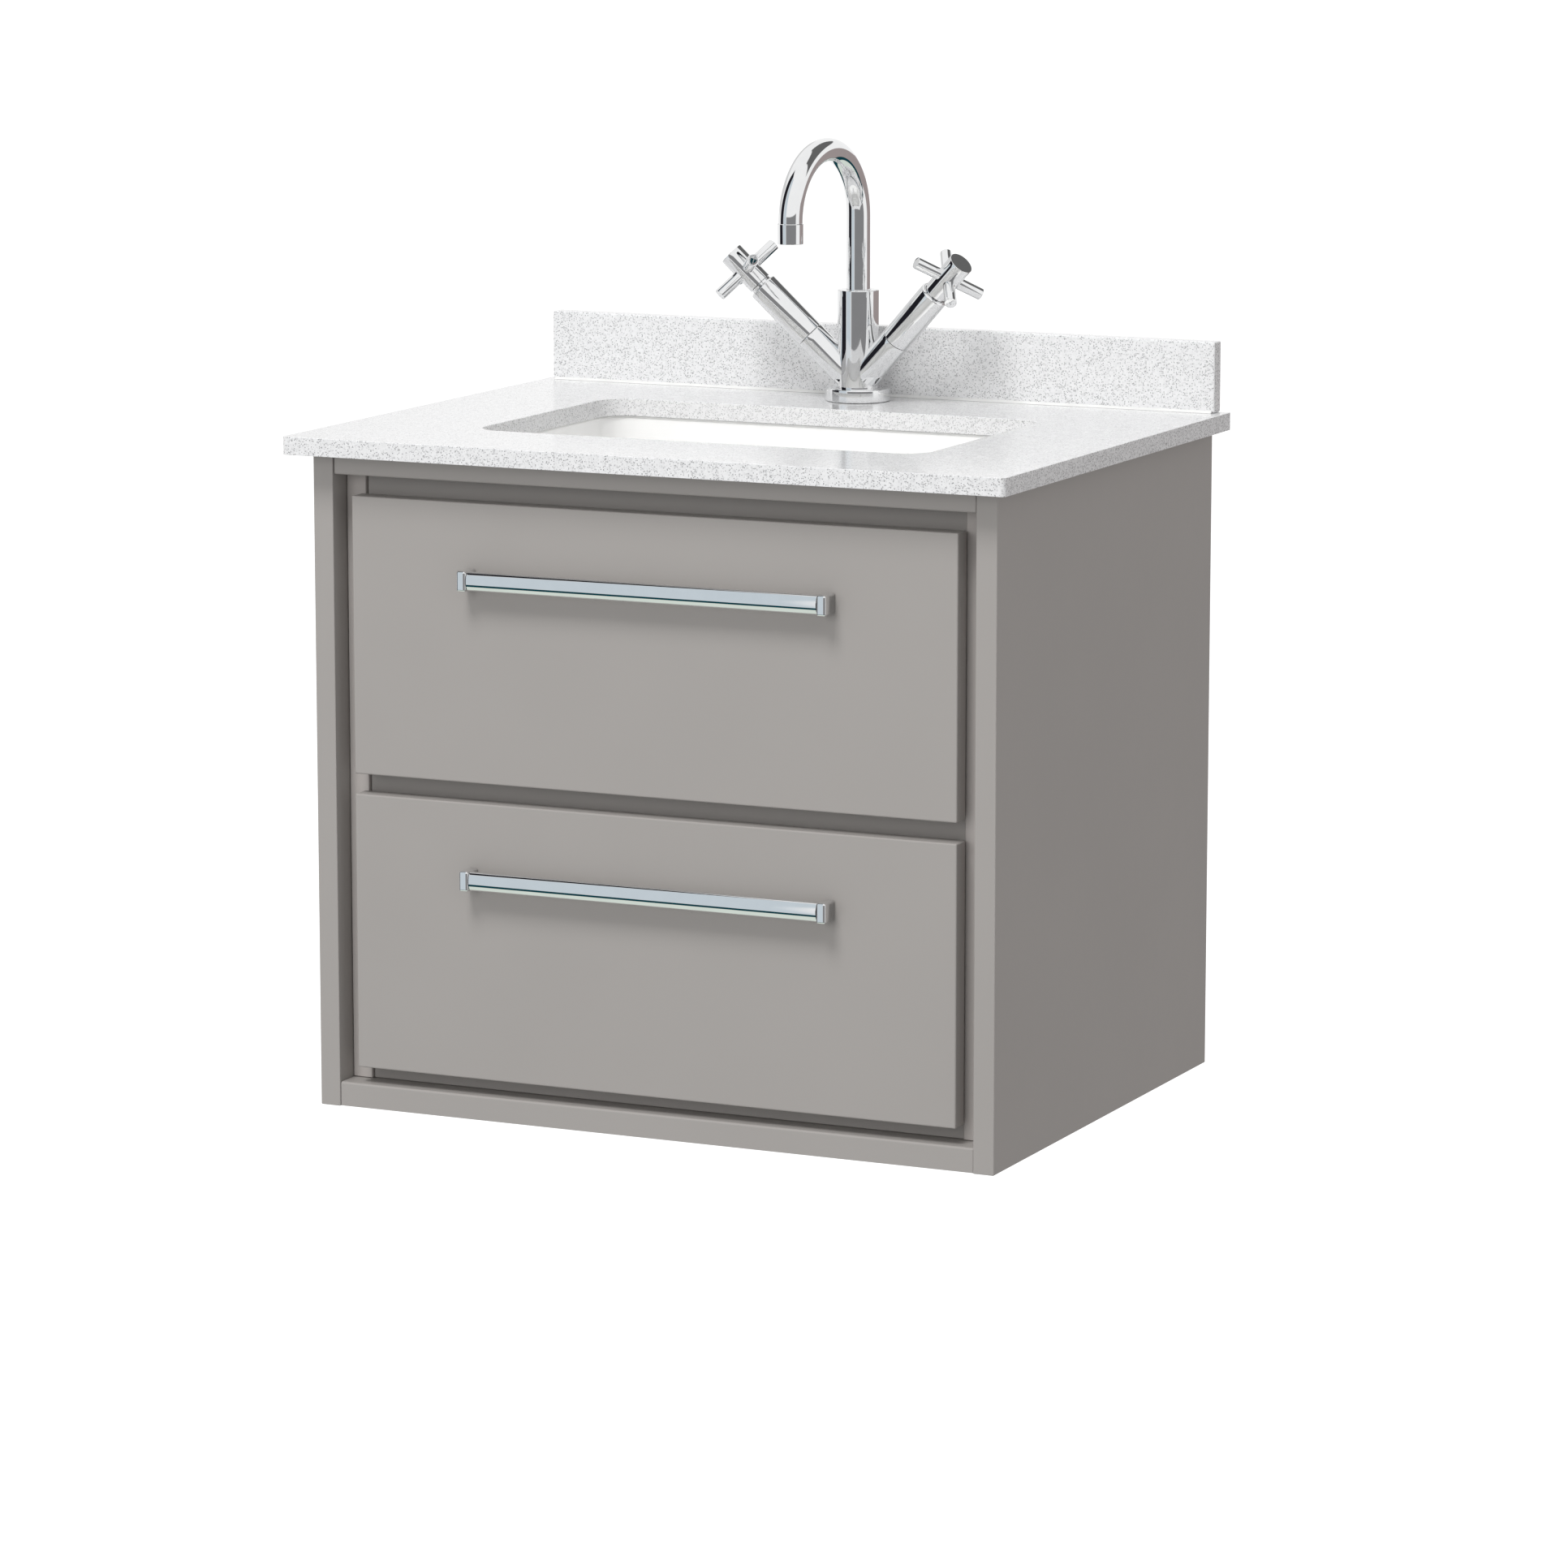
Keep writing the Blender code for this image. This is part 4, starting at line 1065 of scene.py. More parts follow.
@dataclass
class Basin:
    """The glazed bowl under the slab, with its waste and trap."""

    finishes: Finishes
    wall: float = 0.009
    rim_cover: float = 0.020
    corner: float = 0.026
    straight_share: float = 0.62
    draft: float = 0.006
    sweep: float = 0.046
    grow: float = 0.024
    body: str = "cabinet"

    def build(self) -> None:
        """Makes the bowl, the waste with its plug, and the trap."""
        deliver(self.bowl(), self.finishes.glaze, self.body, "ceramic", "basin")
        self.waste()
        self.plug()
        self.trap()

    def stations(self, deep: float) -> list[tuple[float, float, float]]:
        """(inset, depth, corner radius) of each ring, from the rim down to the flat floor."""
        straight = deep * self.straight_share
        rings = [(0.0, 0.004, self.corner)]
        for step in range(1, 5):
            share = step / 4
            depth = 0.004 + (straight - 0.004) * share
            rings.append((self.draft * share, depth, self.corner + 0.003 * share))
        turns = 12
        for step in range(1, turns + 1):
            angle = math.pi / 2 * step / turns
            inset = self.draft + self.sweep * (1 - math.cos(angle))
            depth = straight + (deep - straight) * math.sin(angle)
            rings.append((inset, depth, self.corner + 0.003 + self.grow * math.sin(angle / 2)))
        return rings

    def bowl(self) -> Workpiece:
        """The bowl: a rim sheet is drawn down ring by ring to the waste hole, then thickened."""
        low, high = corners("basin")
        plug_low, plug_high = corners("waste_plug")
        middle = (low + high) / 2
        drain = (plug_low + plug_high) / 2
        half_x = (high.x - low.x) / 2 - self.rim_cover
        half_y = (high.y - low.y) / 2 - self.rim_cover
        deep = high.z - low.z - self.wall
        helper = StoneTop(self.finishes)
        bowl = helper.plan("basin_glazed", Vector((middle.x - half_x, middle.y - half_y, high.z)),
                           Vector((middle.x + half_x, middle.y + half_y, high.z)), self.corner, True)
        bowl.open()
        bpy.ops.mesh.delete(type="ONLY_FACE")
        bpy.ops.mesh.select_all(action="SELECT")
        bpy.ops.mesh.duplicate()
        edge = self.rim_cover
        bowl.reshape(lambda p: ring_point(p, middle, (half_x + edge, half_y + edge), self.corner + edge / 2))
        bpy.ops.mesh.select_all(action="SELECT")
        bpy.ops.mesh.bridge_edge_loops()

        def on_mouth(vert: bmesh.types.BMVert) -> bool:
            """Whether a point is on the inner ring, at the top of the bowl's wall."""
            inside = (abs(vert.co.x - middle.x) < half_x + 1e-5
                      and abs(vert.co.y - middle.y) < half_y + 1e-5)
            ring = ring_point(vert.co, middle, (half_x, half_y), self.corner)
            return inside and (ring - vert.co).length < 1e-4

        bowl.pick("VERT", on_mouth)
        above = 0.0
        for inset, depth, radius in self.stations(deep):
            bpy.ops.mesh.extrude_region_move(TRANSFORM_OT_translate={"value": (0, 0, above - depth)})
            shape = (half_x - inset, half_y - inset)
            bowl.reshape(lambda p, shape=shape, radius=radius: ring_point(p, middle, shape, radius))
            above = depth
        for share in (0.35, 0.7, 1.0):
            bpy.ops.mesh.extrude_region_move(TRANSFORM_OT_translate={"value": (0, 0, 0)})
            bowl.reshape(lambda p, share=share: self.towards_drain(p, drain, share))
        bowl.tidy_shell()
        bowl.settle()
        self.face_up(bowl)
        bowl.modify("SOLIDIFY", thickness=self.wall, offset=-1.0, use_even_offset=True)
        bowl.open()
        bowl.tidy_shell()
        return bowl.settle().smooth(50)

    @staticmethod
    def towards_drain(place: Vector, drain: Vector, share: float) -> Vector:
        """A floor point moved a share of the way to the waste hole's edge."""
        hole = 0.0225
        away = Vector((place.x - drain.x, place.y - drain.y, 0)).normalized()
        edge = Vector((drain.x, drain.y, place.z)) + away * hole
        return place.lerp(edge, share if share == 1.0 else share / 2 + 0.1)

    @staticmethod
    def face_up(bowl: Workpiece) -> None:
        """Turns the open sheet so that its floor faces up."""
        floor = min(bowl.obj.data.polygons, key=lambda f: f.center.z)
        if floor.normal.z < 0:
            bowl.open()
            bpy.ops.mesh.flip_normals()
            bowl.settle()

    def waste(self) -> None:
        """The chrome waste with its threaded tail and nut."""
        low, high = corners("waste_body")
        centre = (low + high) / 2
        seat = high.z - 0.0028
        foot = Vector((centre.x, centre.y, seat))
        bore, tail = 0.0165, low.z - seat
        flange = [(0.0325, 0.0), (0.0325, 0.0014), (0.0292, 0.0028), (0.0246, 0.0028),
                  (0.0196, 0.0008), (bore, -0.002)]
        outline = softened(flange, 0.0006, 3)
        outline += [(bore, -0.020), (bore, tail), (0.0190, tail)]
        outline += self.thread(0.0190, 0.0198, tail + 0.002, -0.0150, 0.0016)
        outline += [(0.0215, -0.0132), (0.0215, 0.0)]
        body = Workpiece.turned("waste_chromed", outline, 64, hollow=True).aim(foot, UP).smooth(38)
        ring = [(0.0200, -0.0132), (0.0270, -0.0132), (0.0270, -0.0096), (0.0217, -0.0096)]
        nut = Workpiece.turned("nut", softened(ring, 0.0006, 2), 48, hollow=True).aim(foot, UP).smooth(38)
        body.gather([nut])
        deliver(body, self.finishes.chrome, self.body, "chrome", "waste_body")

    def plug(self) -> None:
        """The domed plug on its stem."""
        low, high = corners("waste_plug")
        centre = (low + high) / 2
        top = high.z - low.z
        rim = top - 0.0020
        stem = [(0.0040, 0.0), (0.0040, top - 0.0044), (0.0222, top - 0.0044),
                (0.0240, top - 0.0034), (0.0240, rim)]
        outline = softened(stem, 0.0005, 2)
        for step in range(1, 9):
            angle = math.pi / 2 * step / 9
            outline.append((0.0240 * math.cos(angle), rim + 0.0020 * math.sin(angle)))
        plug = Workpiece.turned("waste_plug_domed", outline, 64)
        plug.aim(Vector((centre.x, centre.y, low.z)), UP).smooth(30)
        deliver(plug, self.finishes.chrome, "waste_plug", "chrome", "waste_plug")

    @staticmethod
    def thread(root: float, crest: float, start: float, end: float, pitch: float) -> Outline:
        """Ridges of a screw thread between two heights."""
        made = []
        height = start
        while height + pitch < end:
            made += [(root, height), (crest, height + pitch * 0.35), (crest, height + pitch * 0.55)]
            height += pitch
        made.append((root, height))
        return made

    def trap(self) -> None:
        """The bottle trap with its ribbed nuts, and the pipe into the wall."""
        low, high = corners("trap_bottle")
        pipe_low, pipe_high = corners("trap_outlet")
        centre = (low + high) / 2
        centre.y = low.y + 0.030
        foot = Vector((centre.x, centre.y, low.z))
        tall = high.z - low.z
        outline = [(0.0240, 0.0), (0.0285, 0.0035), (0.0300, 0.006), (0.0300, tall - 0.015),
                   (0.0272, tall - 0.0115), (0.0272, tall - 0.0105), (0.0250, tall - 0.0100),
                   (0.0250, tall), (0.0160, tall), (0.0160, 0.004)]
        bottle = Workpiece.turned("trap_bottle_moulded", softened(outline, 0.0012, 3), 64).aim(foot, UP)
        axis = (pipe_low.z + pipe_high.z) / 2
        start = Vector((centre.x, centre.y + 0.021, axis))
        spigot = Workpiece.rod("spigot", start, Vector((centre.x, pipe_low.y - HIDDEN_GAP, axis)), 0.0135)
        bottle.combine(spigot, Join.ADD).smooth(38)
        back = Vector((0, 1, 0))
        nut_foot = Vector((centre.x, pipe_low.y - 0.0112, axis))
        bottle.gather([
            self.ribbed_nut(0.0252, 0.0282, 0.0085, foot + UP * (tall - 0.0090), UP),
            self.ribbed_nut(0.0137, 0.0172, 0.010, nut_foot, back),
        ])
        deliver(bottle, self.finishes.plastic, self.body, "trap_plastic", "trap_bottle")
        long = pipe_high.y - pipe_low.y
        outline = softened([(0.0120, 0.0), (0.0150, 0.0), (0.0150, long), (0.0120, long)], 0.0004, 2)
        pipe = Workpiece.turned("trap_outlet_pipe", outline, 48, hollow=True)
        pipe.aim(Vector((centre.x, pipe_low.y, axis)), back).smooth(38)
        deliver(pipe, self.finishes.plastic, self.body, "trap_plastic", "trap_outlet")

    @staticmethod
    def ribbed_nut(bore: float, radius: float, high: float, foot: Vector, along: Vector) -> Workpiece:
        """A ring nut with grip ribs round it."""
        outline = softened([(bore, 0.0), (radius, 0.0), (radius, high), (bore, high)], 0.0008, 2)
        nut = Workpiece.turned("ribbed_nut", outline, 72, hollow=True)
        nut.open()
        nut.pick("VERT", lambda v: v.co.xy.length > (bore + radius) / 2)

        def rib(point: Vector) -> Vector:
            """Draws every other pair of points in to leave a rib."""
            turn = math.atan2(point.y, point.x)
            scale = 1.0 + 0.03 * (1 if math.cos(18 * turn) > 0 else -1)
            return Vector((point.x * scale, point.y * scale, point.z))

        nut.reshape(rib)
        return nut.aim(foot, along).smooth(25)


# ---- tap ----


@dataclass
class Tap:
    """The swan-neck mixer: base ring, V-shaped body, two valves with cross handles, and spout."""

    finishes: Finishes
    column_radius: float = 0.0178
    arm_radius: float = 0.0130
    arm_seam: float = 0.059
    arm_collar: float = 0.118
    arm_end: float = 0.1565
    pin_along: float = 0.137
    pin_radius: float = 0.0052
    pin_reach: float = 0.033
    hub_radius: float = 0.0108
    hub_neck: float = 0.0098
    spout_radius: float = 0.0102
    shank_radius: float = 0.0130
    inlet_radius: float = 0.0042
    pin_turns: tuple[float, float] = (28.0, 52.0)
    body: str = "cabinet"

    def build(self) -> None:
        """Makes every piece of the tap."""
        deliver(self.base_ring(), self.finishes.chrome, self.body, "chrome", "tap_flange")
        deliver(self.column(), self.finishes.chrome, self.body, "chrome", "tap_body")
        deliver(self.backnut(), self.finishes.zinc, self.body, "zinc_steel", "tap_backnut")
        for name, turn in zip(("hot", "cold"), self.pin_turns):
            deliver(self.sleeve(name), self.finishes.chrome, self.body, "chrome", f"tap_sleeve_{name}")
            deliver(self.valve(name), self.finishes.zinc, self.body, "zinc_steel", f"tap_valve_{name}")
            handle = self.cross_handle(name, turn)
            deliver(handle, self.finishes.chrome, f"tap_handle_{name}", "chrome", f"tap_handle_{name}")
        deliver(self.spout(), self.finishes.chrome, "tap_spout", "chrome", "tap_spout")
        deliver(self.aerator(), self.finishes.chrome, "tap_spout", "chrome", "tap_aerator")
        deliver(self.flow_straightener(), self.finishes.nylon, "tap_spout", "chrome")

    def seat(self) -> Vector:
        """The tap's foot on the slab, on its vertical axis."""
        low, high = corners("tap_flange")
        return Vector(((low.x + high.x) / 2, (low.y + high.y) / 2, low.z))

    def arm(self, name: str) -> tuple[Vector, Vector]:
        """The point where an arm's axis starts, and its direction."""
        turn = joint(f"{name}_tap_turn")
        along = Vector(turn["axis"]).normalized()
        return Vector(turn["pos_m"]) - along * self.pin_along, along

    def base_ring(self) -> Workpiece:
        """The wide ring that covers the tap hole."""
        low, high = corners("tap_flange")
        radius, tall = (high.x - low.x) / 2, high.z - low.z
        bore = self.column_radius + HIDDEN_GAP
        outline = [(bore, 0.0), (radius, 0.0), (radius, tall), (bore, tall)]
        ring = Workpiece.turned("tap_base_ring", softened(outline, 0.0011, 4), 96, hollow=True)
        return ring.aim(self.seat(), UP).smooth(38)

    def column(self) -> Workpiece:
        """The upright with its two lower arms and the threaded shank under the slab."""
        low, high = corners("tap_body")
        seat = self.seat()
        foot, top = low.z - seat.z, high.z - seat.z
        shank, column, bore = self.shank_radius, self.column_radius, self.spout_radius + 0.0004
        outline = [(shank * 0.9, foot), (shank - 0.0006, foot), (shank - 0.0006, foot + 0.002)]
        outline += Basin.thread(shank - 0.0008, shank, foot + 0.002, -0.018, 0.0016)
        outline += [(shank, -0.017), (shank, 0.0006), (column, 0.0006)]
        outline += [(column, top * share / 8) for share in range(1, 8)]
        outline += softened([(column, top * 0.9), (column, top), (bore, top), (bore, top - 0.012)], 0.0007, 3)
        outline += [(bore, top - 0.030)]
        body = Workpiece.turned("tap_body_polished", outline, 96).aim(seat, UP)
        for name in ("hot", "cold"):
            apex, along = self.arm(name)
            reach = self.arm_seam - 0.004
            rings = [(self.arm_radius, reach * share / 6) for share in range(6)]
            end = [(self.arm_radius, reach * 0.9), (self.arm_radius, reach), (0.008, reach)]
            rings += softened(end, 0.0004, 2)
            arm = Workpiece.turned("arm", rings, 96).aim(apex + along * 0.004, along)
            body.combine(arm, Join.ADD)
            side = -1 if name == "hot" else 1
            hole = seat + Vector((side * shank * 0.48, 0, foot - 0.001))
            inlet = Workpiece.rod("inlet", hole, hole + UP * 0.016, self.inlet_radius, 0.0003, 32)
            body.combine(inlet, Join.CUT)
        return body.smooth(32)

    def backnut(self) -> Workpiece:
        """The nut under the slab, with two spanner flats cut across it."""
        low, high = corners("tap_backnut")
        centre = (low + high) / 2
        foot = Vector((centre.x, centre.y, low.z))
        radius, tall = (high.x - low.x) / 2, high.z - low.z
        outline = softened([(self.shank_radius + HIDDEN_GAP, 0.0), (radius, 0.0), (radius, tall),
                            (self.shank_radius + HIDDEN_GAP, tall)], 0.0008, 3)
        nut = Workpiece.turned("tap_backnut_turned", outline, 72, hollow=True).aim(foot, UP)
        for side in Side:
            inner = centre.x + side.value * radius * 0.86
            outer = centre.x + side.value * radius * 1.2
            x0, x1 = sorted((inner, outer))
            tool = Workpiece.block("flat_tool", Vector((x0, low.y - 0.01, low.z - 0.01)),
                                   Vector((x1, high.y + 0.01, high.z + 0.01)))
            nut.combine(tool, Join.CUT)
        return nut.smooth(30)

    def sleeve(self, name: str) -> Workpiece:
        """The upper half of an arm, which slips over the valve."""
        apex, along = self.arm(name)
        long = self.arm_collar - self.arm_seam - HIDDEN_GAP
        bore = 0.0102
        outline = [(bore, 0.0), (self.arm_radius, 0.0), (self.arm_radius, long - 0.0012),
                   (self.arm_radius - 0.0012, long), (bore, long)]
        outline = softened(outline, 0.0004, 3)
        sleeve = Workpiece.turned(f"tap_sleeve_{name}_polished", outline, 96, hollow=True)
        return sleeve.aim(apex + along * (self.arm_seam + HIDDEN_GAP), along).smooth(38)

    def valve(self, name: str) -> Workpiece:
        """The valve inside a sleeve, with its socket for the handle's spindle."""
        apex, along = self.arm(name)
        long = self.arm_collar - self.arm_seam - HIDDEN_GAP
        outline = [(0.0070, 0.001), (0.0099, 0.001), (0.0099, long - 0.014), (0.0092, long - 0.0135),
                   (0.0092, long - 0.0120), (0.0099, long - 0.0115), (0.0099, long - 0.004),
                   (0.0046, long - 0.004), (0.0046, long - 0.018)]
        valve = Workpiece.turned(f"tap_valve_{name}_turned", softened(outline, 0.0003, 2), 64)
        return valve.aim(apex + along * (self.arm_seam + HIDDEN_GAP), along).smooth(38)

    def cross_handle(self, name: str, turn: float) -> Workpiece:
        """A hub with four pins across it, the pins turned by `turn` degrees from level."""
        apex, along = self.arm(name)
        centre = apex + along * self.pin_along
        low = self.arm_collar + 0.0008 - self.pin_along
        top = self.arm_end - self.pin_along
        neck, hub = self.hub_neck, self.hub_radius
        outline = [(0.0038, low - 0.014), (0.0042, low - 0.0136), (0.0042, low - 0.002), (neck, low - 0.002),
                   (neck, low + 0.0012), (hub, low + 0.0018)]
        outline += [(hub, low + (top - low) * share / 6) for share in range(2, 6)]
        outline += softened([(hub, top - 0.004), (hub, top), (hub - 0.003, top)], 0.0007, 3)
        handle = Workpiece.turned(f"tap_handle_{name}_polished", outline, 96).aim(centre, along)
        level = UP.cross(along).normalized()
        rising = along.cross(level)
        for quarter in range(2):
            angle = math.radians(turn) + quarter * math.pi / 2
            reach = (level * math.cos(angle) + rising * math.sin(angle)) * self.pin_reach
            pin = Workpiece.rod("pin", centre - reach, centre + reach, self.pin_radius, 0.0005, 64)
            handle.combine(pin, Join.ADD)
        return handle.smooth(32)

    def spout(self) -> Workpiece:
        """The swan neck: a straight riser that turns over into a half ellipse."""
        low, high = corners("tap_spout")
        mouth = corners("tap_aerator")[1].z
        seat = self.seat()
        radius = self.spout_radius
        reach = seat.y - (low.y + radius)
        crown = high.z - radius
        shoulder = seat.z + 0.158
        round_off = 0.5523
        half = reach / 2
        front, top = seat.y - reach, seat.y - half
        rise = crown - shoulder

        def at(y: float, z: float) -> Vector:
            """A point on the spout's middle plane."""
            return Vector((seat.x, y, z))

        path = [
            (at(seat.y, low.z), at(seat.y, low.z - 0.01), at(seat.y, low.z + 0.02)),
            (at(seat.y, shoulder), at(seat.y, shoulder - 0.03), at(seat.y, shoulder + rise * round_off)),
            (at(top, crown), at(top + half * round_off, crown), at(top - half * round_off, crown)),
            (at(front, mouth), at(front, mouth + (crown - mouth) * round_off), at(front, mouth - 0.01)),
        ]
        return Workpiece.tube("tap_spout_bent", path, radius, smoothness=28).smooth(60)

    def aerator(self) -> Workpiece:
        """The collar in the spout's mouth, with its seam line and recessed face."""
        low, high = corners("tap_aerator")
        centre = (low + high) / 2
        radius, long = (high.x - low.x) / 2, high.z - low.z
        face = 0.0012
        outline = [(0.0080, face), (0.0088, face), (0.0088, 0.0), (radius, 0.0), (radius, long - 0.0004),
                   (radius - 0.0004, long), (0.006, long)]
        outline = outline[:2] + softened(outline[1:5], 0.0005, 3)[1:] + outline[5:]
        collar = Workpiece.turned("tap_aerator_collar", outline, 96)
        return collar.aim(Vector((centre.x, centre.y, low.z)), UP).smooth(38)

    def flow_straightener(self) -> Workpiece:
        """The ringed disc in the aerator's mouth."""
        low, high = corners("tap_aerator")
        centre = (low + high) / 2
        outline = [(0.0008, 0.0002), (0.0014, 0.0002)]
        radius = 0.0014
        while radius < 0.0072:
            outline += [(radius + 0.0002, 0.0008), (radius + 0.0008, 0.0008),
                        (radius + 0.0010, 0.0002), (radius + 0.0015, 0.0002)]
            radius += 0.0015
        outline += [(0.0086, 0.0002), (0.0086, 0.0011), (0.004, 0.0011)]
        disc = Workpiece.turned("aerator_straightener", outline, 48)
        return disc.aim(Vector((centre.x, centre.y, low.z)), UP).smooth(30)


# ---- studio ----


@dataclass(frozen=True)
class Flag:
    """A card that only mirror reflections see, by its direction from the vanity.

    Azimuths are in degrees from straight in front, to the right; heights are sines of the elevation.
    """

    colour: tuple[float, float, float]
    left: float
    right: float
    low: float
    high: float
    soft_turn: float = 4.0
    soft_rise: float = 0.03


CARDS = (
    Flag((0.72, 0.79, 0.72), -180.0, 180.0, -2.0, -0.62),
    Flag((0.006, 0.05, 0.065), -180.0, 180.0, -0.60, -0.43),
    Flag((0.62, 0.69, 0.74), -44.0, -20.0, -0.40, 0.90, 3.0),
    Flag((0.25, 0.25, 0.255), -12.0, 74.0, -0.38, 0.10, 7.0),
    Flag((0.015, 0.015, 0.02), -80.0, -50.0, -0.42, 0.90, 5.0),
    Flag((0.14, 0.14, 0.14), 118.0, 200.0, 0.42, 0.85),
    Flag((0.36, 0.31, 0.305), 118.0, 200.0, -0.45, 0.06),
    Flag((0.72, 0.72, 0.72), -146.0, -95.0, 0.04, 0.45, 8.0),
)


class Surroundings:
    """The world shader: white to the camera, soft ambient light, and cards in mirror reflections."""

    def __init__(self, ambient: float) -> None:
        """Lays out the shader.

        Args:
            ambient: Brightness of the even light from every side.
        """
        world = bpy.data.worlds.new("studio_surroundings")
        bpy.context.scene.world = world
        world.use_nodes = True
        self.tree = world.node_tree
        self.tree.nodes.clear()
        self.link = self.tree.links.new
        backdrop = self.light((1.0, 1.0, 1.0), 1.0)
        even = self.light((1.0, 1.0, 1.0), ambient)
        mirrored = self.light((1.0, 1.0, 1.0), 1.0)
        self.link(self.cards(), mirrored.inputs["Color"])
        rays = self.add("ShaderNodeLightPath")
        indirect = self.choose(rays.outputs["Is Glossy Ray"], even, mirrored)
        seen = self.choose(rays.outputs["Is Camera Ray"], indirect, backdrop)
        self.link(seen.outputs[0], self.add("ShaderNodeOutputWorld").inputs[0])

    def add(self, kind: str, **settings: object) -> bpy.types.Node:
        """Adds a node and sets its properties."""
        node = self.tree.nodes.new(kind)
        for key, value in settings.items():
            setattr(node, key, value)
        return node

    def light(self, colour: tuple[float, float, float], strength: float) -> bpy.types.Node:
        """A background shader of one colour and strength."""
        node = self.add("ShaderNodeBackground")
        node.inputs["Color"].default_value = (*colour, 1.0)
        node.inputs["Strength"].default_value = strength
        return node

    def choose(self, switch: bpy.types.NodeSocket, off: bpy.types.Node, on: bpy.types.Node) -> bpy.types.Node:
        """Mixes two shaders by a switch value."""
        mix = self.add("ShaderNodeMixShader")
        self.link(switch, mix.inputs[0])
        self.link(off.outputs[0], mix.inputs[1])
        self.link(on.outputs[0], mix.inputs[2])
        return mix

    def rise(self, value: bpy.types.NodeSocket, start: float, end: float) -> bpy.types.NodeSocket:
        """A soft step of a value: 0 at start, 1 at end."""
        step = self.add("ShaderNodeMapRange", interpolation_type="SMOOTHSTEP")
        step.inputs["From Min"].default_value = start
        step.inputs["From Max"].default_value = end
        self.link(value, step.inputs["Value"])
        return step.outputs["Result"]

    def within(self, value: bpy.types.NodeSocket, low: float, high: float,
               soft: float) -> bpy.types.NodeSocket:
        """1 between low and high, falling to 0 over a soft edge outside."""
        up = self.rise(value, low - soft, low)
        down = self.rise(value, high, high + soft)
        rest = self.add("ShaderNodeMath", operation="SUBTRACT", use_clamp=True)
        self.link(up, rest.inputs[0])
        self.link(down, rest.inputs[1])
        return rest.outputs[0]

    def directions(self) -> tuple[bpy.types.NodeSocket, bpy.types.NodeSocket]:
        """The azimuth in degrees and the height of each direction in the world.

        Returns:
            The azimuth's socket and the height's socket.
        """
        place = self.add("ShaderNodeTexCoord")
        split = self.add("ShaderNodeSeparateXYZ")
        self.link(place.outputs["Generated"], split.inputs[0])
        forward = self.add("ShaderNodeMath", operation="MULTIPLY")
        forward.inputs[1].default_value = -1.0
        self.link(split.outputs["Y"], forward.inputs[0])
        turn = self.add("ShaderNodeMath", operation="ARCTAN2")
        self.link(split.outputs["X"], turn.inputs[0])
        self.link(forward.outputs[0], turn.inputs[1])
        degrees = self.add("ShaderNodeMath", operation="DEGREES")
        self.link(turn.outputs[0], degrees.inputs[0])
        return degrees.outputs[0], split.outputs["Z"]

    def cards(self) -> bpy.types.NodeSocket:
        """The colour that a mirror sees in each direction.

        Returns:
            The colour output of the last card.
        """
        azimuth, height = self.directions()
        colour: bpy.types.NodeSocket | None = None
        for flag in CARDS:
            across = self.within(azimuth, flag.left, flag.right, flag.soft_turn)
            upward = self.within(height, flag.low, flag.high, flag.soft_rise)
            inside = self.add("ShaderNodeMath", operation="MULTIPLY")
            self.link(across, inside.inputs[0])
            self.link(upward, inside.inputs[1])
            mix = self.add("ShaderNodeMix", data_type="RGBA")
            self.link(inside.outputs[0], mix.inputs[0])
            if colour is None:
                mix.inputs[6].default_value = (1.0, 1.0, 1.0, 1.0)
            else:
                self.link(colour, mix.inputs[6])
            mix.inputs[7].default_value = (*flag.colour, 1.0)
            colour = mix.outputs[2]
        return colour


@dataclass(frozen=True)
class Lamp:
    """A round soft lamp: azimuth and elevation in degrees, width in metres, power in watts."""

    name: str
    turn: float
    rise: float
    size: float
    power: float
    away: float = 7.0


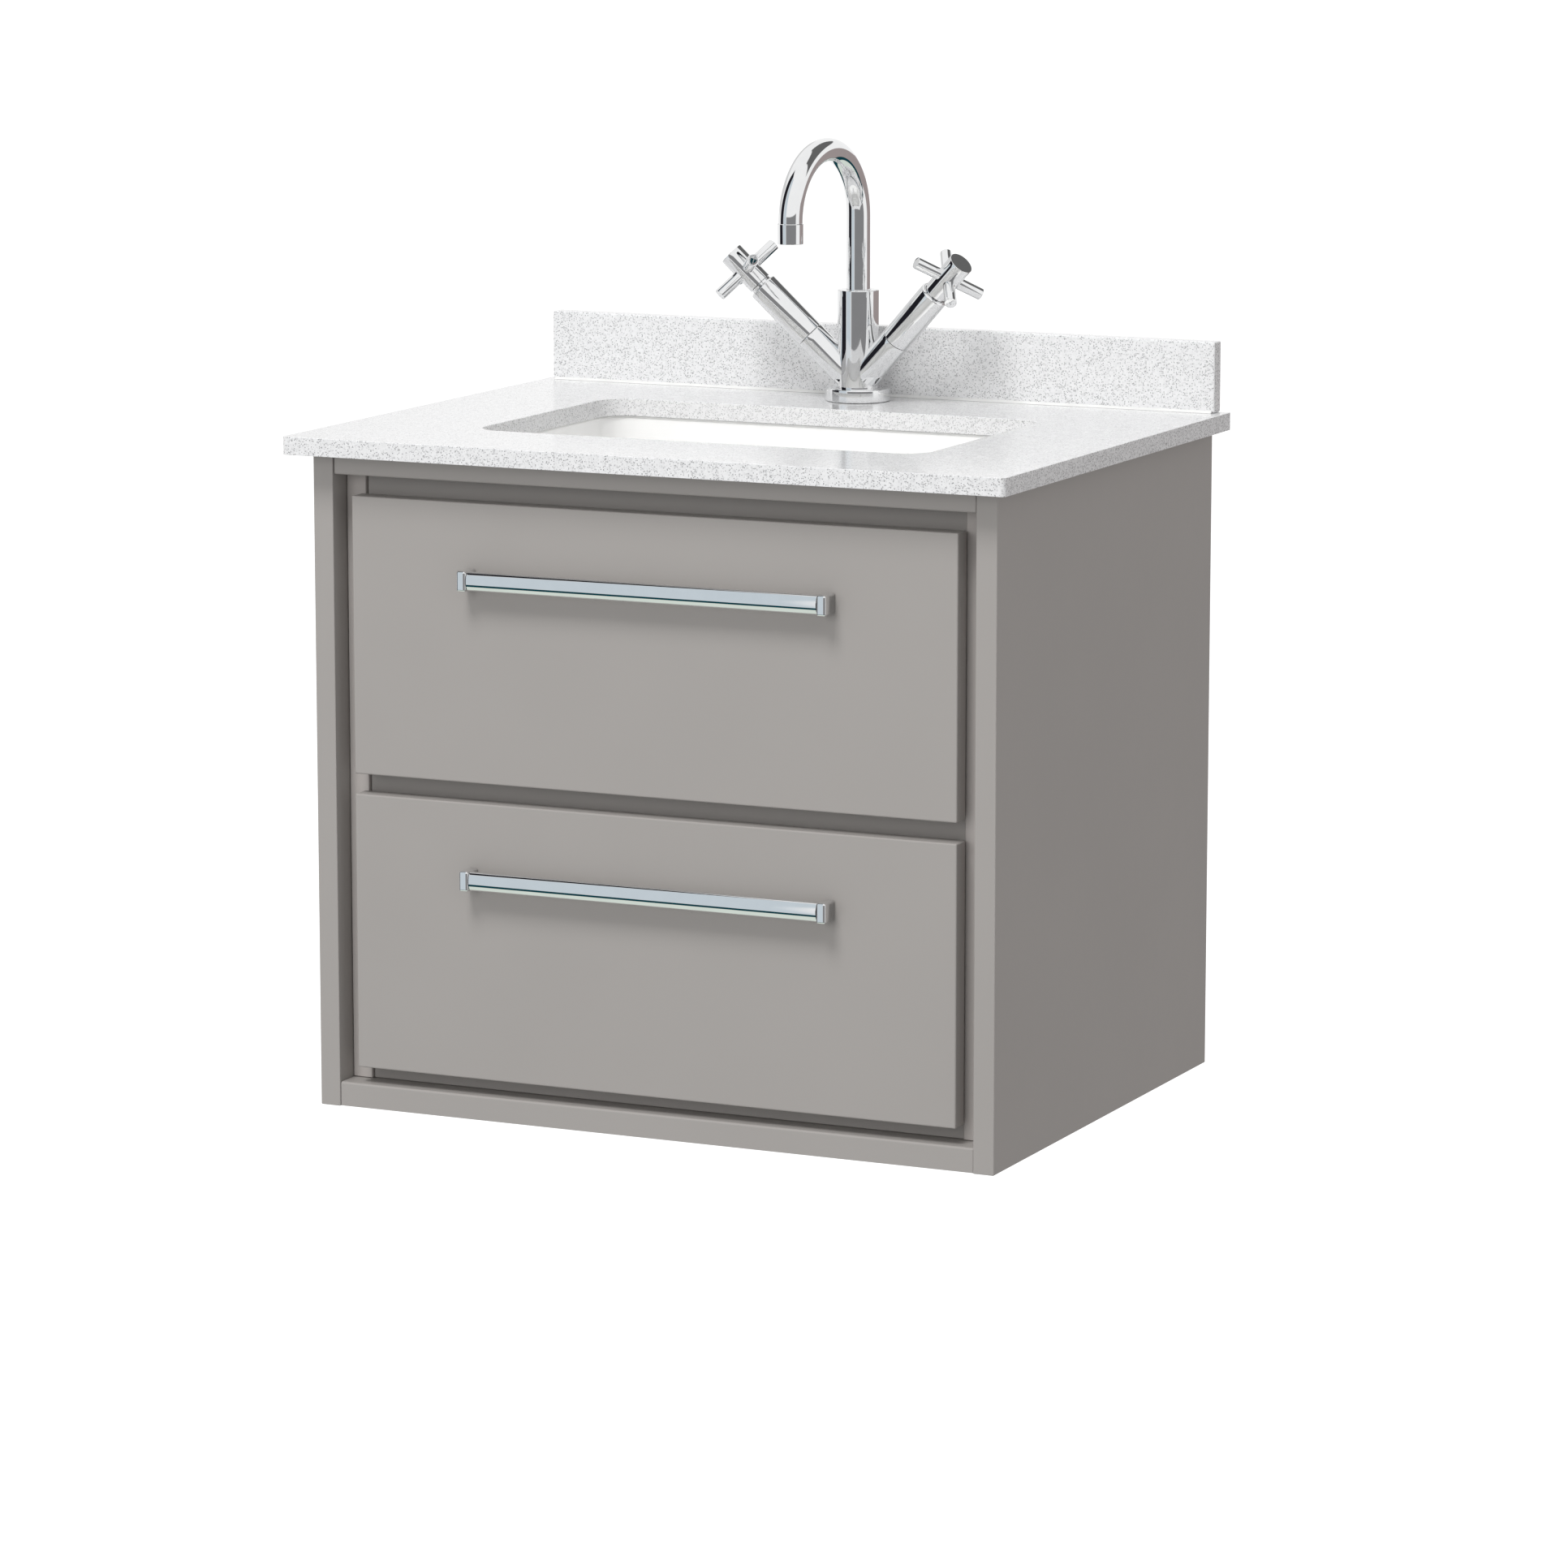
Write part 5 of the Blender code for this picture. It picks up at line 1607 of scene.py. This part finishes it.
@dataclass
class Studio:
    """Pale floor, soft light and the camera."""

    floor_up: float = -0.80
    floor_size: float = 60.0
    floor_glow: float = 0.93
    camera_place: tuple[float, float, float] = (2.24506, -5.01471, 0.71379)
    camera_turn: float = 25.01
    camera_drop: float = 10.0
    camera_lens: float = 146.61
    ambient: float = 0.60
    key: Lamp = Lamp("soft_box", -8.0, 56.0, 2.5, 288.0)
    fill: Lamp = Lamp("low_fill", -14.0, 14.0, 3.0, 70.0)

    def build(self) -> None:
        """Sets up everything around the vanity."""
        self.floor()
        Surroundings(self.ambient)
        for lamp in (self.key, self.fill):
            self.light(lamp)
        self.camera()

    @staticmethod
    def direction(turn: float, rise: float) -> Vector:
        """Unit vector from the vanity at an azimuth and an elevation in degrees."""
        turn, rise = math.radians(turn), math.radians(rise)
        return Vector((math.sin(turn) * math.cos(rise), -math.cos(turn) * math.cos(rise), math.sin(rise)))

    def floor(self) -> None:
        """A plain floor, bright enough to melt into the background."""
        clear_selection()
        bpy.ops.mesh.primitive_plane_add(size=self.floor_size, location=(0, 0, self.floor_up))
        floor = bpy.context.object
        floor.name = "studio_floor"
        sheet = NodeSheet("floor_paper")
        sheet.wire(sheet.steps(sheet.noise(2.0), [(0.3, (0.24, 0.24, 0.24)), (0.7, (0.26, 0.26, 0.26))]),
                   sheet.shader, "Base Color")
        sheet.set(Roughness=0.9, Emission_Color=(1, 1, 1, 1), Emission_Strength=self.floor_glow)
        floor.data.materials.append(sheet.material)
        floor.visible_diffuse = False
        floor.visible_glossy = False

    def light(self, plan: Lamp) -> None:
        """Hangs one soft lamp, aimed at the vanity.

        Args:
            plan: The lamp's place, size and power.
        """
        clear_selection()
        aim = Vector((0.0, -0.3, 0.0))
        away = self.direction(plan.turn, plan.rise)
        bpy.ops.object.light_add(type="AREA", location=aim + away * plan.away)
        lamp = bpy.context.object
        lamp.name = plan.name
        lamp.data.shape = "DISK"
        lamp.data.size = plan.size
        lamp.data.energy = plan.power
        lamp.visible_glossy = False
        lamp.rotation_mode = "QUATERNION"
        lamp.rotation_quaternion = away.to_track_quat("Z", "Y")

    def camera(self) -> None:
        """The camera, a long lens a few metres in front, to the right and above."""
        clear_selection()
        bpy.ops.object.camera_add(location=self.camera_place)
        camera = bpy.context.object
        back = self.direction(self.camera_turn, self.camera_drop)
        camera.rotation_mode = "QUATERNION"
        camera.rotation_quaternion = (-back).to_track_quat("-Z", "Y")
        camera.data.lens = self.camera_lens
        camera.data.sensor_width = 36.0
        camera.data.clip_end = 200.0
        camera.data.dof.use_dof = False
        bpy.context.scene.camera = camera
        bpy.context.scene.view_settings.view_transform = "Standard"


def dress_remaining_nodes(finishes: Finishes) -> None:
    """Gives every CAD node that still shows the finish of its slot."""
    slots = {part["node"]: part["material_slot"] for part in frame["record"]["subparts"]}
    for name, node in frame["nodes"].items():
        if node.hide_render:
            continue
        finish = finishes.for_slot(slots[name])
        node.data.materials.clear()
        node.data.materials.append(finish)
        log.info("%s: carried over as it is", name)


def main() -> None:
    """Builds the vanity's looks, then the studio."""
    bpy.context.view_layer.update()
    finishes = Finishes()
    screws = ScrewBox()
    Carcass(finishes, screws).build()
    for tag in ("upper", "lower"):
        Drawer(finishes, screws, tag).build()
    StoneTop(finishes).build()
    Basin(finishes).build()
    Tap(finishes).build()
    dress_remaining_nodes(finishes)
    Studio().build()
    clear_selection()


if __name__ == "__main__":
    main()
